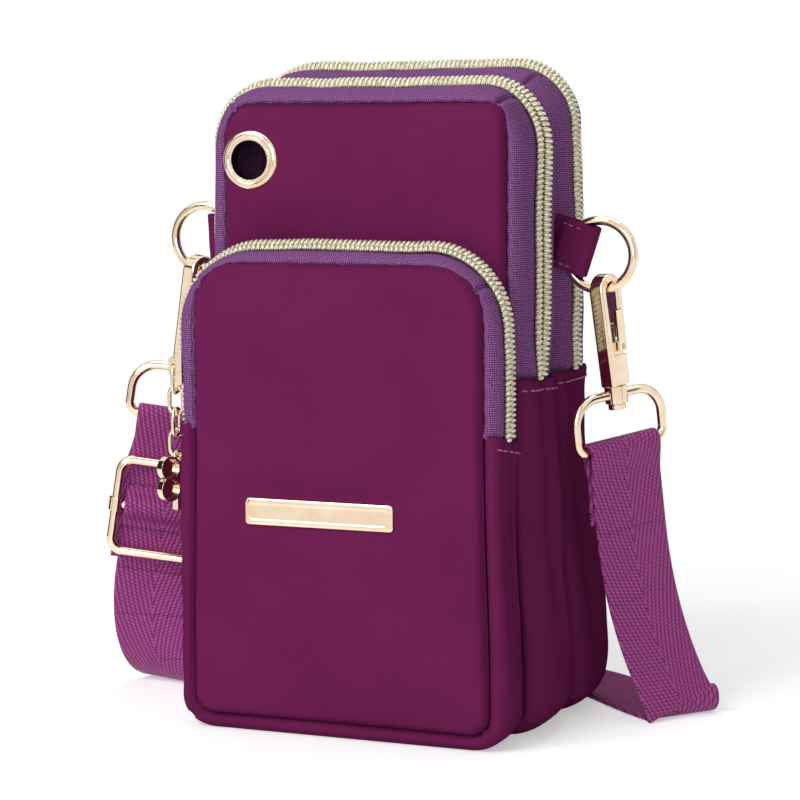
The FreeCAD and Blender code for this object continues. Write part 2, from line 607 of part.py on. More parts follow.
def bow(side):
    """The wire bow that swivels on a hook's post, with its collar."""
    name = f"bow_{side.name}"
    frame = wire_frame(f"{name}_frame", "bow_width", "bow_height", "bow_top_round", "bow_bottom_round",
                       "bow_wire")
    at(frame, "0", "0", "0 - running_gap - collar_length / 2 - bow_height / 2")
    collar = cylinder(f"{name}_collar", "collar_radius", "collar_length", "Z", "0", "0",
                      "0 - running_gap - collar_length")
    bore = cylinder(f"{name}_bore", "post_radius + running_gap", "collar_length + 2 * overrun", "Z", "0", "0",
                    "0 - running_gap - collar_length - overrun")
    whole = cut(name, fuse(f"{name}_whole", frame, collar), bore)
    whole.Placement = side.bow
    node(name, whole)


def strap_loop(side, length):
    """The webbing sewn round a bow's bar: two layers that meet below it."""
    thick = size("strap_thick")
    inside = size("bow_wire") / 2 + size("running_gap")
    outside = inside + thick
    taper = size("loop_taper")
    point = lambda y, z: Vector(0, y, z)
    outline = closed([
        (point(-outside, 0), point(0, outside), point(outside, 0)),
        point(thick, -taper), point(thick, -size(length)),
        point(-thick, -size(length)), point(-thick, -taper),
    ])
    hollow = closed([(point(-inside, 0), point(0, inside), point(inside, 0)), point(0, thick - taper)])
    name = f"strap_{side.name}_loop"
    loop = extrusion(name, [outline, hollow], "strap_width", Vector(1, 0, 0))
    loop.Placement = Placement(side.bar, side.bow.Rotation)
    node(name, loop)


def adjuster(side):
    """The strap's adjuster: a wire frame in front of the webbing and a cross bar under the strap's turn."""
    front = "0 - strap_thick - running_gap - slide_wire / 2"
    frame = wire_frame("adjuster_frame", "slide_width", "slide_height", "slide_round", "slide_round",
                       "slide_wire")
    place = Placement(side.bow.multVec(Vector(0, 0, side.bow.inverse().multVec(side.bar).z
                                              - size("slide_below"))), side.bow.Rotation)
    offset = Placement(Vector(0, -size("strap_thick") - size("running_gap") - size("slide_wire") / 2, 0),
                       Rotation())
    frame.Placement = place * offset
    node("adjuster_frame", frame)
    sleeves = []
    bores = []
    for end in (-1, 1):
        middle = f"{end} * slide_width / 2"
        sleeves.append(cylinder(f"bar_sleeve{end + 1}", "slide_wire / 2 + slide_sleeve",
                                "slide_sleeve_length", "Z", middle, front, "0 - slide_sleeve_length / 2"))
        bores.append(cylinder(f"bar_bore{end + 1}", "slide_wire / 2", "slide_height", "Z", middle, front,
                              "0 - slide_height / 2"))
    rod = cylinder("bar_rod", "slide_bar_radius", "slide_width", "X", "0 - slide_width / 2", front, "0")
    bar = cut("adjuster_bar", fuse("adjuster_bar_whole", rod, *sleeves), *bores)
    bar.Placement = place
    node("adjuster_bar", bar)

    inside = size("slide_bar_radius") + size("running_gap")
    outside = inside + size("strap_thick")
    middle = -size("strap_thick") - size("running_gap") - size("slide_wire") / 2
    back = -size("strap_thick") - size("running_gap") / 2
    point = lambda y, z: Vector(0, y, z)
    outline = closed([
        point(back, outside), (point(middle, outside), point(middle - outside, 0), point(middle, -outside)),
        point(back, -outside), point(back, -inside),
        (point(middle, -inside), point(middle - inside, 0), point(middle, inside)), point(back, inside),
    ])
    turn = extrusion("strap_bar_turn", [outline], "strap_width", Vector(1, 0, 0))
    turn.Placement = place
    node("strap_bar_turn", turn)


def zip_slider(name, width, front, depth, level):
    """A zip slider on the left run of its zip: two plates, their neck, lips over the coil and a bail."""
    middle = f"{front} + ( {depth} ) / 2"
    inner_face = f"{width} / 2 + coil_proud + running_gap"
    outer_face = f"{inner_face} + slider_plate"
    inside = f"{width} / 2 - wall - running_gap"
    long = (f"{level} - slider_length / 2", f"{level} + slider_length / 2")
    wide = (f"{middle} - slider_width / 2", f"{middle} + slider_width / 2")
    shapes = [
        box(f"{name}_outer_plate", (f"0 - ( {outer_face} )", f"0 - ( {inner_face} )"), wide, long),
        box(f"{name}_inner_plate", (f"0 - ( {inside} )", f"slider_plate - ( {inside} )"), wide, long),
        box(f"{name}_neck", (f"0 - ( {inner_face} )", f"0 - ( {inside} )"),
            (f"{middle} - slider_neck / 2", f"{middle} + slider_neck / 2"),
            (long[0], f"{long[0]} + slider_neck_length")),
    ]
    for lip, edges in (("fore", (wide[0], f"{middle} - coil_width / 2 - running_gap")),
                       ("aft", (f"{middle} + coil_width / 2 + running_gap", wide[1]))):
        shapes.append(box(f"{name}_lip_{lip}", (f"0 - ( {inner_face} )", f"0 - {width} / 2 - running_gap"),
                          edges, long))
    bail = box(f"{name}_bail", (f"0 - ( {outer_face} ) - bail_height", f"0 - ( {outer_face} )"),
               (f"{middle} - bail_thick / 2", f"{middle} + bail_thick / 2"),
               (f"{level} - bail_length / 2", f"{level} + bail_length / 2"))
    eye_x = f"0 - ( {outer_face} ) - bail_height / 2"
    eye = cylinder(f"{name}_bail_eye", "bail_bore", "bail_thick + 2 * overrun", "Y", eye_x,
                   f"{middle} - overrun - bail_thick / 2", level)
    node(f"{name}_slider", cut(f"{name}_slider", fuse(f"{name}_slider_whole", *shapes, bail), eye))
    return eye_x, middle


def link(name, x, y, z, crosswise):
    """One wire link, hanging below a point, with its flat side across X or across Y."""
    item = wire_frame(name, "link_width", "link_length - link_wire", "link_width / 2", "link_width / 2",
                      "link_wire")
    if crosswise:
        item.Placement = Placement(Vector(), Rotation(Vector(0, 0, 1), 90))
    return at(item, x, y, f"{z} - ( link_length - link_wire ) / 2")


def plain_pull(name, eye_x, eye_y, level):
    """A plain pull: a link in the slider's bail with a flat tongue."""
    ring = link(f"{name}_pull_link", eye_x, eye_y, level, True)
    low = f"{level} - link_length - pull_length + 2 * link_wire"
    tongue = box(f"{name}_pull_tongue", (f"{eye_x} - pull_thick / 2", f"{eye_x} + pull_thick / 2"),
                 (f"{eye_y} - pull_width / 2", f"{eye_y} + pull_width / 2"), (low, f"{low} + pull_length"))
    node(f"{name}_pull", fuse(f"{name}_pull", ring, tongue))


def charm_chain(eye_x, eye_y, level):
    """The front slider's pull: a link in the bail, a short chain and a hollow-leaved clover."""
    pitch = "( link_length - 2 * link_wire - running_gap )"
    node("front_pull_link", link("front_pull_link", eye_x, eye_y, level, True))
    for number in range(1, CHAIN_LINKS + 1):
        node(f"chain_link_{number}", link(f"chain_link_{number}", eye_x, eye_y,
                                          f"{level} - {number} * {pitch}", number % 2 == 0))
    seat = f"{level} - {CHAIN_LINKS} * {pitch} - link_length + link_wire"
    loop = doc.addObject("Part::Torus", "charm_loop")
    loop.Placement = Placement(Vector(), Rotation(Vector(0, 1, 0), 90))
    bind(loop, Radius1="link_wire + running_gap", Radius2="link_wire / 2")
    at(loop, eye_x, eye_y, f"{seat} - running_gap / 2")

    radius = size("leaf_radius")
    spread = radius * 2**0.5 - size("leaf_rim")
    thick = size("charm_thick")
    leaves = Part.makeCylinder(radius, thick, Vector(0, -thick / 2, 0), Vector(0, 1, 0))
    hollows = []
    for number in range(CHARM_LEAVES):
        angle = (number + 0.5) * 2 * math.pi / CHARM_LEAVES
        place = Vector(spread * math.cos(angle), -thick / 2, spread * math.sin(angle))
        leaves = leaves.fuse(Part.makeCylinder(radius, thick, place, Vector(0, 1, 0)))
        hollows.append(Part.makeCylinder(radius - size("leaf_rim"), size("leaf_depth"), place,
                                         Vector(0, 1, 0)))
    stem = Part.makeBox(size("stem_width"), thick, size("stem_length") + radius,
                        Vector(-size("stem_width") / 2, -thick / 2,
                               -spread - radius - size("stem_length") / 2))
    leaves = leaves.fuse(stem)
    for hollow in hollows:
        leaves = leaves.cut(hollow)
    rise = math.sin(math.pi / CHARM_LEAVES) * spread
    notch = rise + (radius**2 - rise**2)**0.5
    turned = Placement(Vector(), Rotation(Vector(0, 0, 1), CHARM_TURN))
    clover = feature("clover", leaves.removeSplitter(), turned)
    at(clover, eye_x, eye_y, f"{seat} - running_gap - link_wire - {notch}")
    node("clover_charm", fuse("clover_charm", loop, clover))


def eased(start, out, end, into, count):
    """Points on a smooth path: it leaves its start along one handle and comes to its end along another."""
    points = []
    for number in range(count + 1):
        share = number / count
        rest = 1 - share
        points.append(start * rest**3 + (start + out) * (3 * rest**2 * share)
                      + (end - into) * (3 * rest * share**2) + end * share**3)
    return points


def ribbon(name, points, out, into, across):
    """Webbing along a path: a rectangle at each point, its width turned from one direction to another."""
    wide = size("strap_width") / 2
    thin = size("strap_thick") / 2
    wires = []
    for number, point in enumerate(points):
        if number == 0:
            tangent = out
        elif number == len(points) - 1:
            tangent = into
        else:
            tangent = points[number + 1] - points[number - 1]
        tangent = Vector(tangent).normalize()
        width = across(number / (len(points) - 1), tangent)
        width = (width - tangent * width.dot(tangent)).normalize()
        normal = tangent.cross(width)
        corners = [point + width * (wide * u) + normal * (thin * v)
                   for u, v in ((-1, -1), (1, -1), (1, 1), (-1, 1))]
        lift = Vector(0, 0, max(0, -min(corner.z for corner in corners)))
        corners = [corner + lift for corner in corners]
        wires.append(Part.makePolygon(corners + corners[:1]))
    return node(name, feature(name, Part.makeLoft(wires, True, True)))


def hank_route():
    """The folded strap's centre line: straight layers joined by half turns, from the floor up."""
    low = -size("hank_left") - size("hank_length") / 2 + size("hank_pitch") / 2
    high = low + size("hank_length") - size("hank_pitch")
    route = []
    for layer in range(HANK_LAYERS):
        level = size("strap_thick") / 2 + layer * size("hank_pitch")
        ends = [high, low] if layer % 2 == 0 else [low, high]
        if layer == 0:
            ends[0] = size("hank_entry")
        if layer == HANK_LAYERS - 1:
            ends[1] = -size("hank_exit")
        route.append((Vector(ends[0], 0, level), Vector(ends[1], 0, level)))
    return route


def hank_gap(route):
    """The least gap between turns of the hank, from points along its centre line."""
    step = size("chord_step")
    bend = size("hank_pitch") / 2
    line = []
    for layer, (start, end) in enumerate(route):
        count = int(start.distanceToPoint(end) / step)
        line += [start + (end - start) * (number / count) for number in range(count + 1)]
        if layer + 1 < len(route):
            outward = (end - start).normalize()
            centre = end + Vector(0, 0, bend)
            turns = int(math.pi * bend / step) + 1
            line += [centre + outward * (bend * math.sin(math.pi * number / turns))
                     - Vector(0, 0, bend * math.cos(math.pi * number / turns)) for number in range(1, turns)]
    along = int(math.pi * bend / step) + 1
    least = min(one.distanceToPoint(other) for place, one in enumerate(line)
                for other in line[place + along:])
    return least - size("strap_thick")


def hank():
    """The strap's spare length, folded to and fro in one unbroken band behind the pouch."""
    route = hank_route()
    thin = size("strap_thick") / 2
    bend = size("hank_pitch") / 2
    edges = []
    for layer, (start, end) in enumerate(route):
        for side in (-1, 1):
            lift = Vector(0, 0, side * thin)
            edges.append(Part.makeLine(start + lift, end + lift))
        if layer + 1 < len(route):
            outward = (end - start).normalize()
            centre = end + Vector(0, 0, bend)
            for radius in (bend - thin, bend + thin):
                edges.append(Part.Arc(centre - Vector(0, 0, radius), centre + outward * radius,
                                      centre + Vector(0, 0, radius)).toShape())
    for point in (route[0][0], route[-1][1]):
        edges.append(Part.makeLine(point - Vector(0, 0, thin), point + Vector(0, 0, thin)))
    item = extrusion("strap_hank", [Part.Wire(Part.sortEdges(edges)[0])], "strap_width", Vector(0, 1, 0))
    item.Placement = Placement(Vector(0, size("hank_behind"), 0), Rotation())
    node("strap_hank", item)
    print("least gap between the hank's turns:", round(hank_gap(route), 3), "mm")
    behind = Vector(0, size("hank_behind"), 0)
    return route[0][0] + behind, route[-1][1] + behind


def strap(right, left):
    """The strap between its two loops: a drop and a floor run on each side, and the hank between them."""
    lowest, highest = hank()
    level = Vector(0, 0, size("strap_thick") / 2)
    up = Vector(0, 0, 1)
    turn = math.radians(size("bow_right_angle"))
    across = Vector(math.cos(turn), math.sin(turn), 0)
    back = Vector(-math.sin(turn), math.cos(turn), 0)
    start = right.bar - right.axis * size("right_loop")
    foot = Vector(start.x, start.y, 0) + across * size("foot_across") + back * size("foot_behind") + level
    path = eased(start, -right.axis * size("drop_pull_right"), foot, back * size("floor_pull"), DROP_STATIONS)
    wide = right.bow.Rotation.multVec(Vector(1, 0, 0))
    ribbon("strap_right_drop", path, -right.axis, back,
           lambda share, tangent: wide * (1 - share)**4 + across * (1 - (1 - share)**4))
    path = eased(foot, back * size("run_pull"), lowest, Vector(-size("run_pull"), 0, 0), RUN_STATIONS)
    ribbon("strap_right_run", path, back, Vector(-1, 0, 0), lambda share, tangent: tangent.cross(up))

    turn = math.radians(size("foot_angle"))
    towards = Vector(-math.cos(turn), -math.sin(turn), 0)
    foot = Vector(-size("foot_left"), size("foot_back"), 0) + level
    path = eased(highest, Vector(-size("run_pull"), 0, 0), foot, towards * size("run_pull"), RUN_STATIONS)
    ribbon("strap_left_run", path, Vector(-1, 0, 0), towards, lambda share, tangent: tangent.cross(up))
    end = left.bar - left.axis * size("left_loop")
    path = eased(end, -left.axis * size("drop_pull_left"), foot, -towards * size("floor_pull"), DROP_STATIONS)
    lay = left.bow.Rotation.multVec(Vector(1, 0, 0))
    ribbon("strap_left_drop", path, -left.axis, -towards,
           lambda share, tangent: lay * (1 - share) + up.cross(towards) * share)


pouch()
right = Side("right", 1)
left = Side("left", -1)
for side, length in ((right, "right_loop"), (left, "left_loop")):
    side_tab(side)
    tab_ring(side)
    snap_hook(side)
    bow(side)
    strap_loop(side, length)
adjuster(left)
strap(right, left)
eye = zip_slider("front", "front_width", FRONT, "front_depth", "front_slider_level")
charm_chain(*eye, "front_slider_level")
for name, front, depth in (("middle", MIDDLE, "middle_depth"), ("back", BACK, "back_depth")):
    eye = zip_slider(name, "rear_width", front, depth, "rear_slider_level")
    plain_pull(name, *eye, "rear_slider_level")

doc.recompute()
for item in doc.Objects:
    if "Invalid" in item.State or "Error" in item.State:
        raise RuntimeError(f"{item.Name} did not compute: {item.State}")
for name, item in nodes.items():
    if item.Shape.isNull() or not item.Shape.isValid():
        raise RuntimeError(f"{name} has no sound shape")

os.makedirs("parts", exist_ok=True)
for name, item in nodes.items():
    item.Shape.exportStep(f"parts/{name}.step")
print(len(nodes), "sub-parts written")
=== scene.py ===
"""A phone pouch of three zipped compartments with its shoulder strap, dressed on its CAD frame."""
import json
import logging
from dataclasses import dataclass, replace
from enum import Enum
from typing import Optional, Sequence, Union

import bmesh
import bpy
import numpy as np
from mathutils import Matrix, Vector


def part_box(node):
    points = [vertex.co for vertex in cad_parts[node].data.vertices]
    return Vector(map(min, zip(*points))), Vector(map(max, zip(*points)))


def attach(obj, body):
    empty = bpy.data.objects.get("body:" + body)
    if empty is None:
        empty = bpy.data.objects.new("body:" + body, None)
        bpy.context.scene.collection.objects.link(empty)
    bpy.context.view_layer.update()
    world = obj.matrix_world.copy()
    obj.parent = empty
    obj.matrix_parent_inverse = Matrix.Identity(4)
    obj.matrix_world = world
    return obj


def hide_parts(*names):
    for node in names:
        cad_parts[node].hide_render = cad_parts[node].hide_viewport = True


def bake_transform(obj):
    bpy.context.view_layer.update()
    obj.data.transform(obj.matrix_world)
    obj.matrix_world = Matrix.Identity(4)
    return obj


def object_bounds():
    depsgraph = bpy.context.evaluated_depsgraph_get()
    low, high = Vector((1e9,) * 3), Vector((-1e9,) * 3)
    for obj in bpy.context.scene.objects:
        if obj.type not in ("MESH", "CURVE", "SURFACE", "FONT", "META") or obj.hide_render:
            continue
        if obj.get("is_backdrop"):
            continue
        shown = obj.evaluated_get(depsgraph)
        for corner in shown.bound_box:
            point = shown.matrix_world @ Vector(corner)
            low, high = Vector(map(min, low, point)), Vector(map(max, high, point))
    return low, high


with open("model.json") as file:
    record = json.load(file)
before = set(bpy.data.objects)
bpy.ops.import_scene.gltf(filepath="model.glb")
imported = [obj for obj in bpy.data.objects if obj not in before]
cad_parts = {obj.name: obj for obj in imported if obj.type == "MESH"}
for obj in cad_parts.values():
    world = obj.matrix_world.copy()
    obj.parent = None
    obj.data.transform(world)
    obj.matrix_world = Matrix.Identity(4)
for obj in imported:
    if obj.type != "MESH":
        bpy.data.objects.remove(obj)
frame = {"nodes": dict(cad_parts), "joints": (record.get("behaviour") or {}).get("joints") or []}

LOG = logging.getLogger("pouch")
MM = 0.001
TAU = 2 * np.pi
Array = np.ndarray
Socket = bpy.types.NodeSocket
Value = Union[Socket, float, Sequence[float]]
Colour = tuple[float, float, float]
Pair = tuple[float, float]
ASKEW = np.array([0.123, 0.271, 0.955])  # a direction that no rod runs along
WELD = 0.002  # points closer than this many millimetres are one
EYELET_HOLE = 7.2  # radius of the cloth's hole behind the eyelet
LOW_ROUND = 10.0  # radius of every compartment's lower corners
QUARTER_STEPS, FLAT_STEPS, EDGE_STEPS = 40, 15, 6  # points of a corner, a ribbon's face and its edge
FACES = (("fore", -1), ("aft", 1))  # the zip's two halves, with their sign along Y

# A zip tooth and the leg under it: places along, across and out from the zip's line, and the wire's radius.
TOOTH = np.array([[-0.14, 2.80, -0.80, 0.32], [-0.13, 2.70, -0.10, 0.52], [-0.06, 2.20, 0.34, 0.56],
                  [0.00, 1.60, 0.42, 0.53], [0.08, 1.05, 0.24, 0.48], [0.15, 0.60, -0.20, 0.40],
                  [0.20, 0.28, -0.70, 0.24]])
LEG = np.array([[0.69, 2.55, -0.70, 0.26], [0.69, 2.20, -0.25, 0.36], [0.72, 1.60, -0.05, 0.40],
                [0.78, 1.00, -0.15, 0.36], [0.82, 0.38, -0.60, 0.26]])


class Slot(Enum):
    """The record's material slots."""

    NYLON = "nylon"
    TAPE = "zip_tape"
    COIL = "zip_coil"
    LINING = "lining"
    WEBBING = "webbing"
    GOLD = "gold"
    STEEL = "steel"


class Side(Enum):
    """The pouch's two ends of the strap, with their sign along X."""

    RIGHT = 1
    LEFT = -1

    @property
    def word(self) -> str:
        """The side's word in the names of nodes."""
        return self.name.lower()


# ---------------------------------------------------------------- numbers and meshes


def unit(vectors: Array) -> Array:
    """Vectors scaled to length 1."""
    vectors = np.asarray(vectors, float)
    return vectors / np.linalg.norm(vectors, axis=-1, keepdims=True)


def ease(low: float, high: float, value: Array) -> Array:
    """A smooth step: 0 before low, 1 after high, 3t^2 - 2t^3 between them."""
    t = np.clip((np.asarray(value, float) - low) / (high - low), 0, 1)
    return t * t * (3 - 2 * t)


def bell(value: Array, spread: float) -> Array:
    """A bell e^(-(value / spread)^2)."""
    return np.exp(-(value / spread) ** 2)


def joined(*parts: Array) -> Array:
    """Arrays spread to one shape and stacked along a last axis."""
    return np.stack(np.broadcast_arrays(*parts), -1)


def uneven(points: Array, wave: float, seed: int, waves: int = 7) -> Array:
    """Smooth unevenness: sine waves of about one length in seeded directions, added up.

    Args:
        points: places in millimetres, with their three coordinates last.
        wave: the usual wavelength in millimetres.
        seed: the draw's seed.
        waves: how many waves are added.

    Returns:
        A number of about -1 to 1 for each place.
    """
    draw = np.random.default_rng(seed)
    ways = unit(draw.normal(size=(waves, 3))) * TAU / (wave * draw.uniform(0.7, 1.5, (waves, 1)))
    return np.sin(points @ ways.T + draw.uniform(0, TAU, waves)).sum(-1) / np.sqrt(waves)


def corners(node: str) -> tuple[Array, Array]:
    """A CAD node's lowest and highest corner in millimetres."""
    low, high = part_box(node)
    return np.array(low) / MM, np.array(high) / MM


def bezier(a: Array, b: Array, c: Array, d: Array, steps: int) -> Array:
    """Points of a cubic curve from a to d with handles b and c."""
    t = np.linspace(0, 1, steps)[:, None]
    return (1 - t) ** 3 * a + 3 * (1 - t) ** 2 * t * b + 3 * (1 - t) * t * t * c + t ** 3 * d


def along(path: Array) -> Array:
    """The length run along a path up to each of its points."""
    steps = np.linalg.norm(np.diff(path, axis=0), axis=1)
    return np.concatenate([[0.0], np.cumsum(steps)])


class Stock:
    """Gathers grids and repeated small forms, then becomes one mesh object."""

    def __init__(self) -> None:
        """Starts with nothing gathered."""
        self.points: list[Array] = []
        self.faces: list[list[int]] = []
        self.cloth: list[Array] = []
        self.count = 0

    def grid(self, points: Array, cloth: Array, wrap: tuple[bool, bool] = (False, False),
             flip: bool = False, caps: bool = False, keep: Optional[Array] = None) -> "Stock":
        """Adds a grid of quads; a wrapped direction shares its first and last points.

        Args:
            points: rows by columns by 3, in millimetres.
            cloth: the cloth coordinates, with one more row or column where the grid wraps.
            wrap: whether the rows and the columns close on themselves.
            flip: turns the faces over.
            caps: closes the first and last row, whose columns wrap, with one face each.
            keep: quads to keep, as booleans, or None for all.

        Returns:
            The stock, for chaining.
        """
        rows, columns = points.shape[:2]
        index = np.arange(rows * columns).reshape(rows, columns)
        for axis in (0, 1):
            if wrap[axis]:
                index = np.concatenate([index, index.take([0], axis)], axis)
        cloth_index = np.arange(index.size).reshape(index.shape)

        def quads(of: Array) -> Array:
            """The four corners of each quad, in turn."""
            return np.stack([of[:-1, :-1], of[1:, :-1], of[1:, 1:], of[:-1, 1:]], -1)

        faces, places = quads(index), quads(cloth_index)
        if keep is not None:
            faces, places = faces[keep], places[keep]
        faces, places = faces.reshape(-1, 4), places.reshape(-1, 4)
        if flip:
            faces, places = faces[:, ::-1], places[:, ::-1]
        sheet = cloth.reshape(-1, 2)
        self.faces += (faces + self.count).tolist()
        self.cloth.append(sheet[places].reshape(-1, 2))
        if caps:
            ends = [(index[0, :-1], cloth_index[0, :-1]),
                    (index[-1, :-1][::-1], cloth_index[-1, :-1][::-1])]
            for face, place in ends:
                face, place = (face[::-1], place[::-1]) if flip else (face, place)
                self.faces.append((face + self.count).tolist())
                self.cloth.append(sheet[place])
        self.points.append(points.reshape(-1, 3))
        self.count += rows * columns
        return self

    def copies(self, form: "Stock", places: Array, axes: Array) -> "Stock":
        """Adds one copy of a small form at each place.

        Args:
            form: the form, about its own origin.
            places: where its origin goes, one row each.
            axes: the directions of its X, Y and Z there, as rows of a 3 by 3 block.

        Returns:
            The stock, for chaining.
        """
        shape = np.concatenate(form.points)
        self.points.append((places[:, None] + np.einsum("vk,nkd->nvd", shape, axes)).reshape(-1, 3))
        for number in range(len(places)):
            start = self.count + number * len(shape)
            self.faces += [[corner + start for corner in face] for face in form.faces]
        self.cloth += form.cloth * len(places)
        self.count += len(places) * len(shape)
        return self

    def make(self, name: str, finish: "Finish", wall: float = 0.0, weld: bool = False) -> bpy.types.Object:
        """Makes the mesh object, smooth but for faces of five corners or more, which are flat caps.

        Args:
            name: the piece's name.
            finish: what its surface is.
            wall: thickness in millimetres added on the inside, or 0.
            weld: merges points that coincide, such as at a pole.

        Returns:
            The object, at the origin.
        """
        mesh = bpy.data.meshes.new(name)
        mesh.from_pydata((np.concatenate(self.points) * MM).tolist(), [], self.faces)
        layer = mesh.uv_layers.new(name="cloth")
        layer.data.foreach_set("uv", np.concatenate(self.cloth).astype(np.float32).ravel())
        mesh.polygons.foreach_set("use_smooth", np.array([len(face) < 5 for face in self.faces]))
        mesh.materials.append(finish.material())
        if weld:
            form = bmesh.new()
            form.from_mesh(mesh)
            bmesh.ops.remove_doubles(form, verts=form.verts, dist=WELD * MM)
            form.to_mesh(mesh)
            form.free()
        mesh.update()
        piece = bpy.data.objects.new(name, mesh)
        bpy.context.scene.collection.objects.link(piece)
        if wall:
            shell = piece.modifiers.new("wall", "SOLIDIFY")
            shell.thickness = wall * MM
            shell.offset = -1
        LOG.info("%s: %d faces", name, len(mesh.polygons))
        return piece


def rod(path: Array, radius: Array, sides: int = 8) -> Stock:
    """A round rod along a short path, with a radius at each of its points and closed ends.

    Args:
        path: the middle line, in millimetres.
        radius: its radius at each point.
        sides: corners of its section.

    Returns:
        The form.
    """
    way = unit(np.gradient(path, axis=0))
    aside = unit(np.cross(way, ASKEW))
    upward = np.cross(way, aside)
    turn = np.linspace(0, TAU, sides, endpoint=False)
    ring = aside[:, None] * np.cos(turn)[:, None] + upward[:, None] * np.sin(turn)[:, None]
    points = path[:, None] + ring * np.asarray(radius)[:, None, None]
    run = np.broadcast_to(along(path)[:, None], (len(path), sides + 1))
    around = np.broadcast_to(np.linspace(0, 1, sides + 1), run.shape)
    return Stock().grid(points, np.stack([run, around], -1), (False, True), caps=True)


def ribbon(path: Array, across: Array, width: float, thick: float, start: float = 0.0,
           floor: bool = False) -> tuple[Array, Array]:
    """A flat band carried along a path: a rounded-edged rectangle square to the path at each point.

    Args:
        path: the band's middle line.
        across: the direction of its width at each point.
        width: the band's width.
        thick: its thickness.
        start: the cloth coordinate at the path's start.
        floor: lifts each section so that no corner is below the floor.

    Returns:
        The points and cloth coordinates of a grid whose columns wrap.
    """
    way = unit(np.gradient(path, axis=0))
    across = unit(across - (across * way).sum(-1, keepdims=True) * way)
    upward = np.cross(way, across)
    half, edge = width / 2, thick / 2
    flat = np.linspace(-half + edge, half - edge, FLAT_STEPS)
    turn = np.linspace(-np.pi / 2, np.pi / 2, EDGE_STEPS)[1:-1]
    bulge, climb, face = edge * np.cos(turn), edge * np.sin(turn), np.full(FLAT_STEPS, edge)
    aside = np.concatenate([flat, half - edge + bulge, flat[::-1], -half + edge - bulge])
    rise = np.concatenate([-face, climb, face, -climb])
    points = path[:, None] + across[:, None] * aside[:, None] + upward[:, None] * rise[:, None]
    if floor:
        points[..., 2] -= np.minimum(points[..., 2].min(1, keepdims=True), 0)
    over = np.concatenate([aside, aside[:1]])
    run = start + along(path)
    return points, joined(run[:, None], over[None])


@dataclass(frozen=True)
class Outline:
    """A rectangle with rounded corners in the XZ plane, run from its bottom's middle to the right."""

    half: float
    base: float
    top: float
    low_round: float
    high_round: float
    middle: float = 0.0
    left_round: Optional[float] = None

    def table(self) -> tuple[Array, Array, Array, Array]:
        """The run's length, X, Z and outward angle at closely set points.

        Returns:
            Four arrays.
        """
        low, high = self.low_round, self.high_round
        left = high if self.left_round is None else self.left_round
        quarter = np.linspace(0, np.pi / 2, QUARTER_STEPS)
        centres = [(self.half - low, self.base + low, low, -np.pi / 2),
                   (self.half - high, self.top - high, high, 0),
                   (left - self.half, self.top - left, left, np.pi / 2),
                   (low - self.half, self.base + low, low, np.pi)]
        x = [[0.0]] + [cx + r * np.cos(quarter + a) for cx, _, r, a in centres] + [[0.0]]
        z = [[self.base]] + [cz + r * np.sin(quarter + a) for _, cz, r, a in centres] + [[self.base]]
        angle = [[-np.pi / 2]] + [quarter + a for _, _, _, a in centres] + [[1.5 * np.pi]]
        x, z, angle = map(np.concatenate, (x, z, angle))
        return along(np.stack([x, z], 1)), x + self.middle, z, angle

    @property
    def length(self) -> float:
        """The run's whole length."""
        return self.table()[0][-1]

    def reach(self, level: float) -> float:
        """The run from the bottom's middle up the right side to a level."""
        return self.half - self.low_round + self.low_round * np.pi / 2 + level - self.base - self.low_round

    def at(self, run: Array) -> tuple[Array, Array, Array, Array]:
        """X, Z and the outward direction's X and Z at lengths along the run, which may pass its ends.

        Args:
            run: the lengths.

        Returns:
            Four arrays of the lengths' shape.
        """
        table, x, z, angle = self.table()
        run = np.mod(run, table[-1])
        way = np.interp(run, table, angle)
        return np.interp(run, table, x), np.interp(run, table, z), np.cos(way), np.sin(way)

    def gain(self, way_x: Array, way_z: Array, by: float, rounds: tuple[float, float]) -> Array:
        """How much further out a seam with tighter upper corners lies than the outline drawn in.

        Seen from the corner's centre the seam is a / cos or a / sin away, with a the outline's radius less
        the inset, or on its own arc of the tighter radius.

        Args:
            way_x: the outward direction's X.
            way_z: its Z.
            by: how far the seam is drawn in.
            rounds: radius of the seam's upper right and upper left corner.

        Returns:
            A distance along the outward direction, 0 off the upper corners.
        """
        tight = np.where(way_x > 0, *rounds)
        reach = self.high_round - by
        centre = reach - tight
        side, up = np.abs(way_x), np.maximum(way_z, 0)
        dot = (side + up) * centre
        arc = dot + np.sqrt(np.maximum(dot ** 2 - 2 * centre ** 2 + tight ** 2, 0))
        straight = reach / np.maximum(np.maximum(side, up), 0.5)
        found = np.where(np.minimum(side, up) * straight < centre, straight, arc) - reach
        return np.where(way_z > 0, found, 0)

    def inset(self, by: float) -> "Outline":
        """The outline drawn in by a distance.

        Args:
            by: the distance.

        Returns:
            The smaller outline.
        """
        left = None if self.left_round is None else self.left_round - by
        return Outline(self.half - by, self.base + by, self.top - by, self.low_round - by,
                       self.high_round - by, self.middle, left)


# ---------------------------------------------------------------- finishes


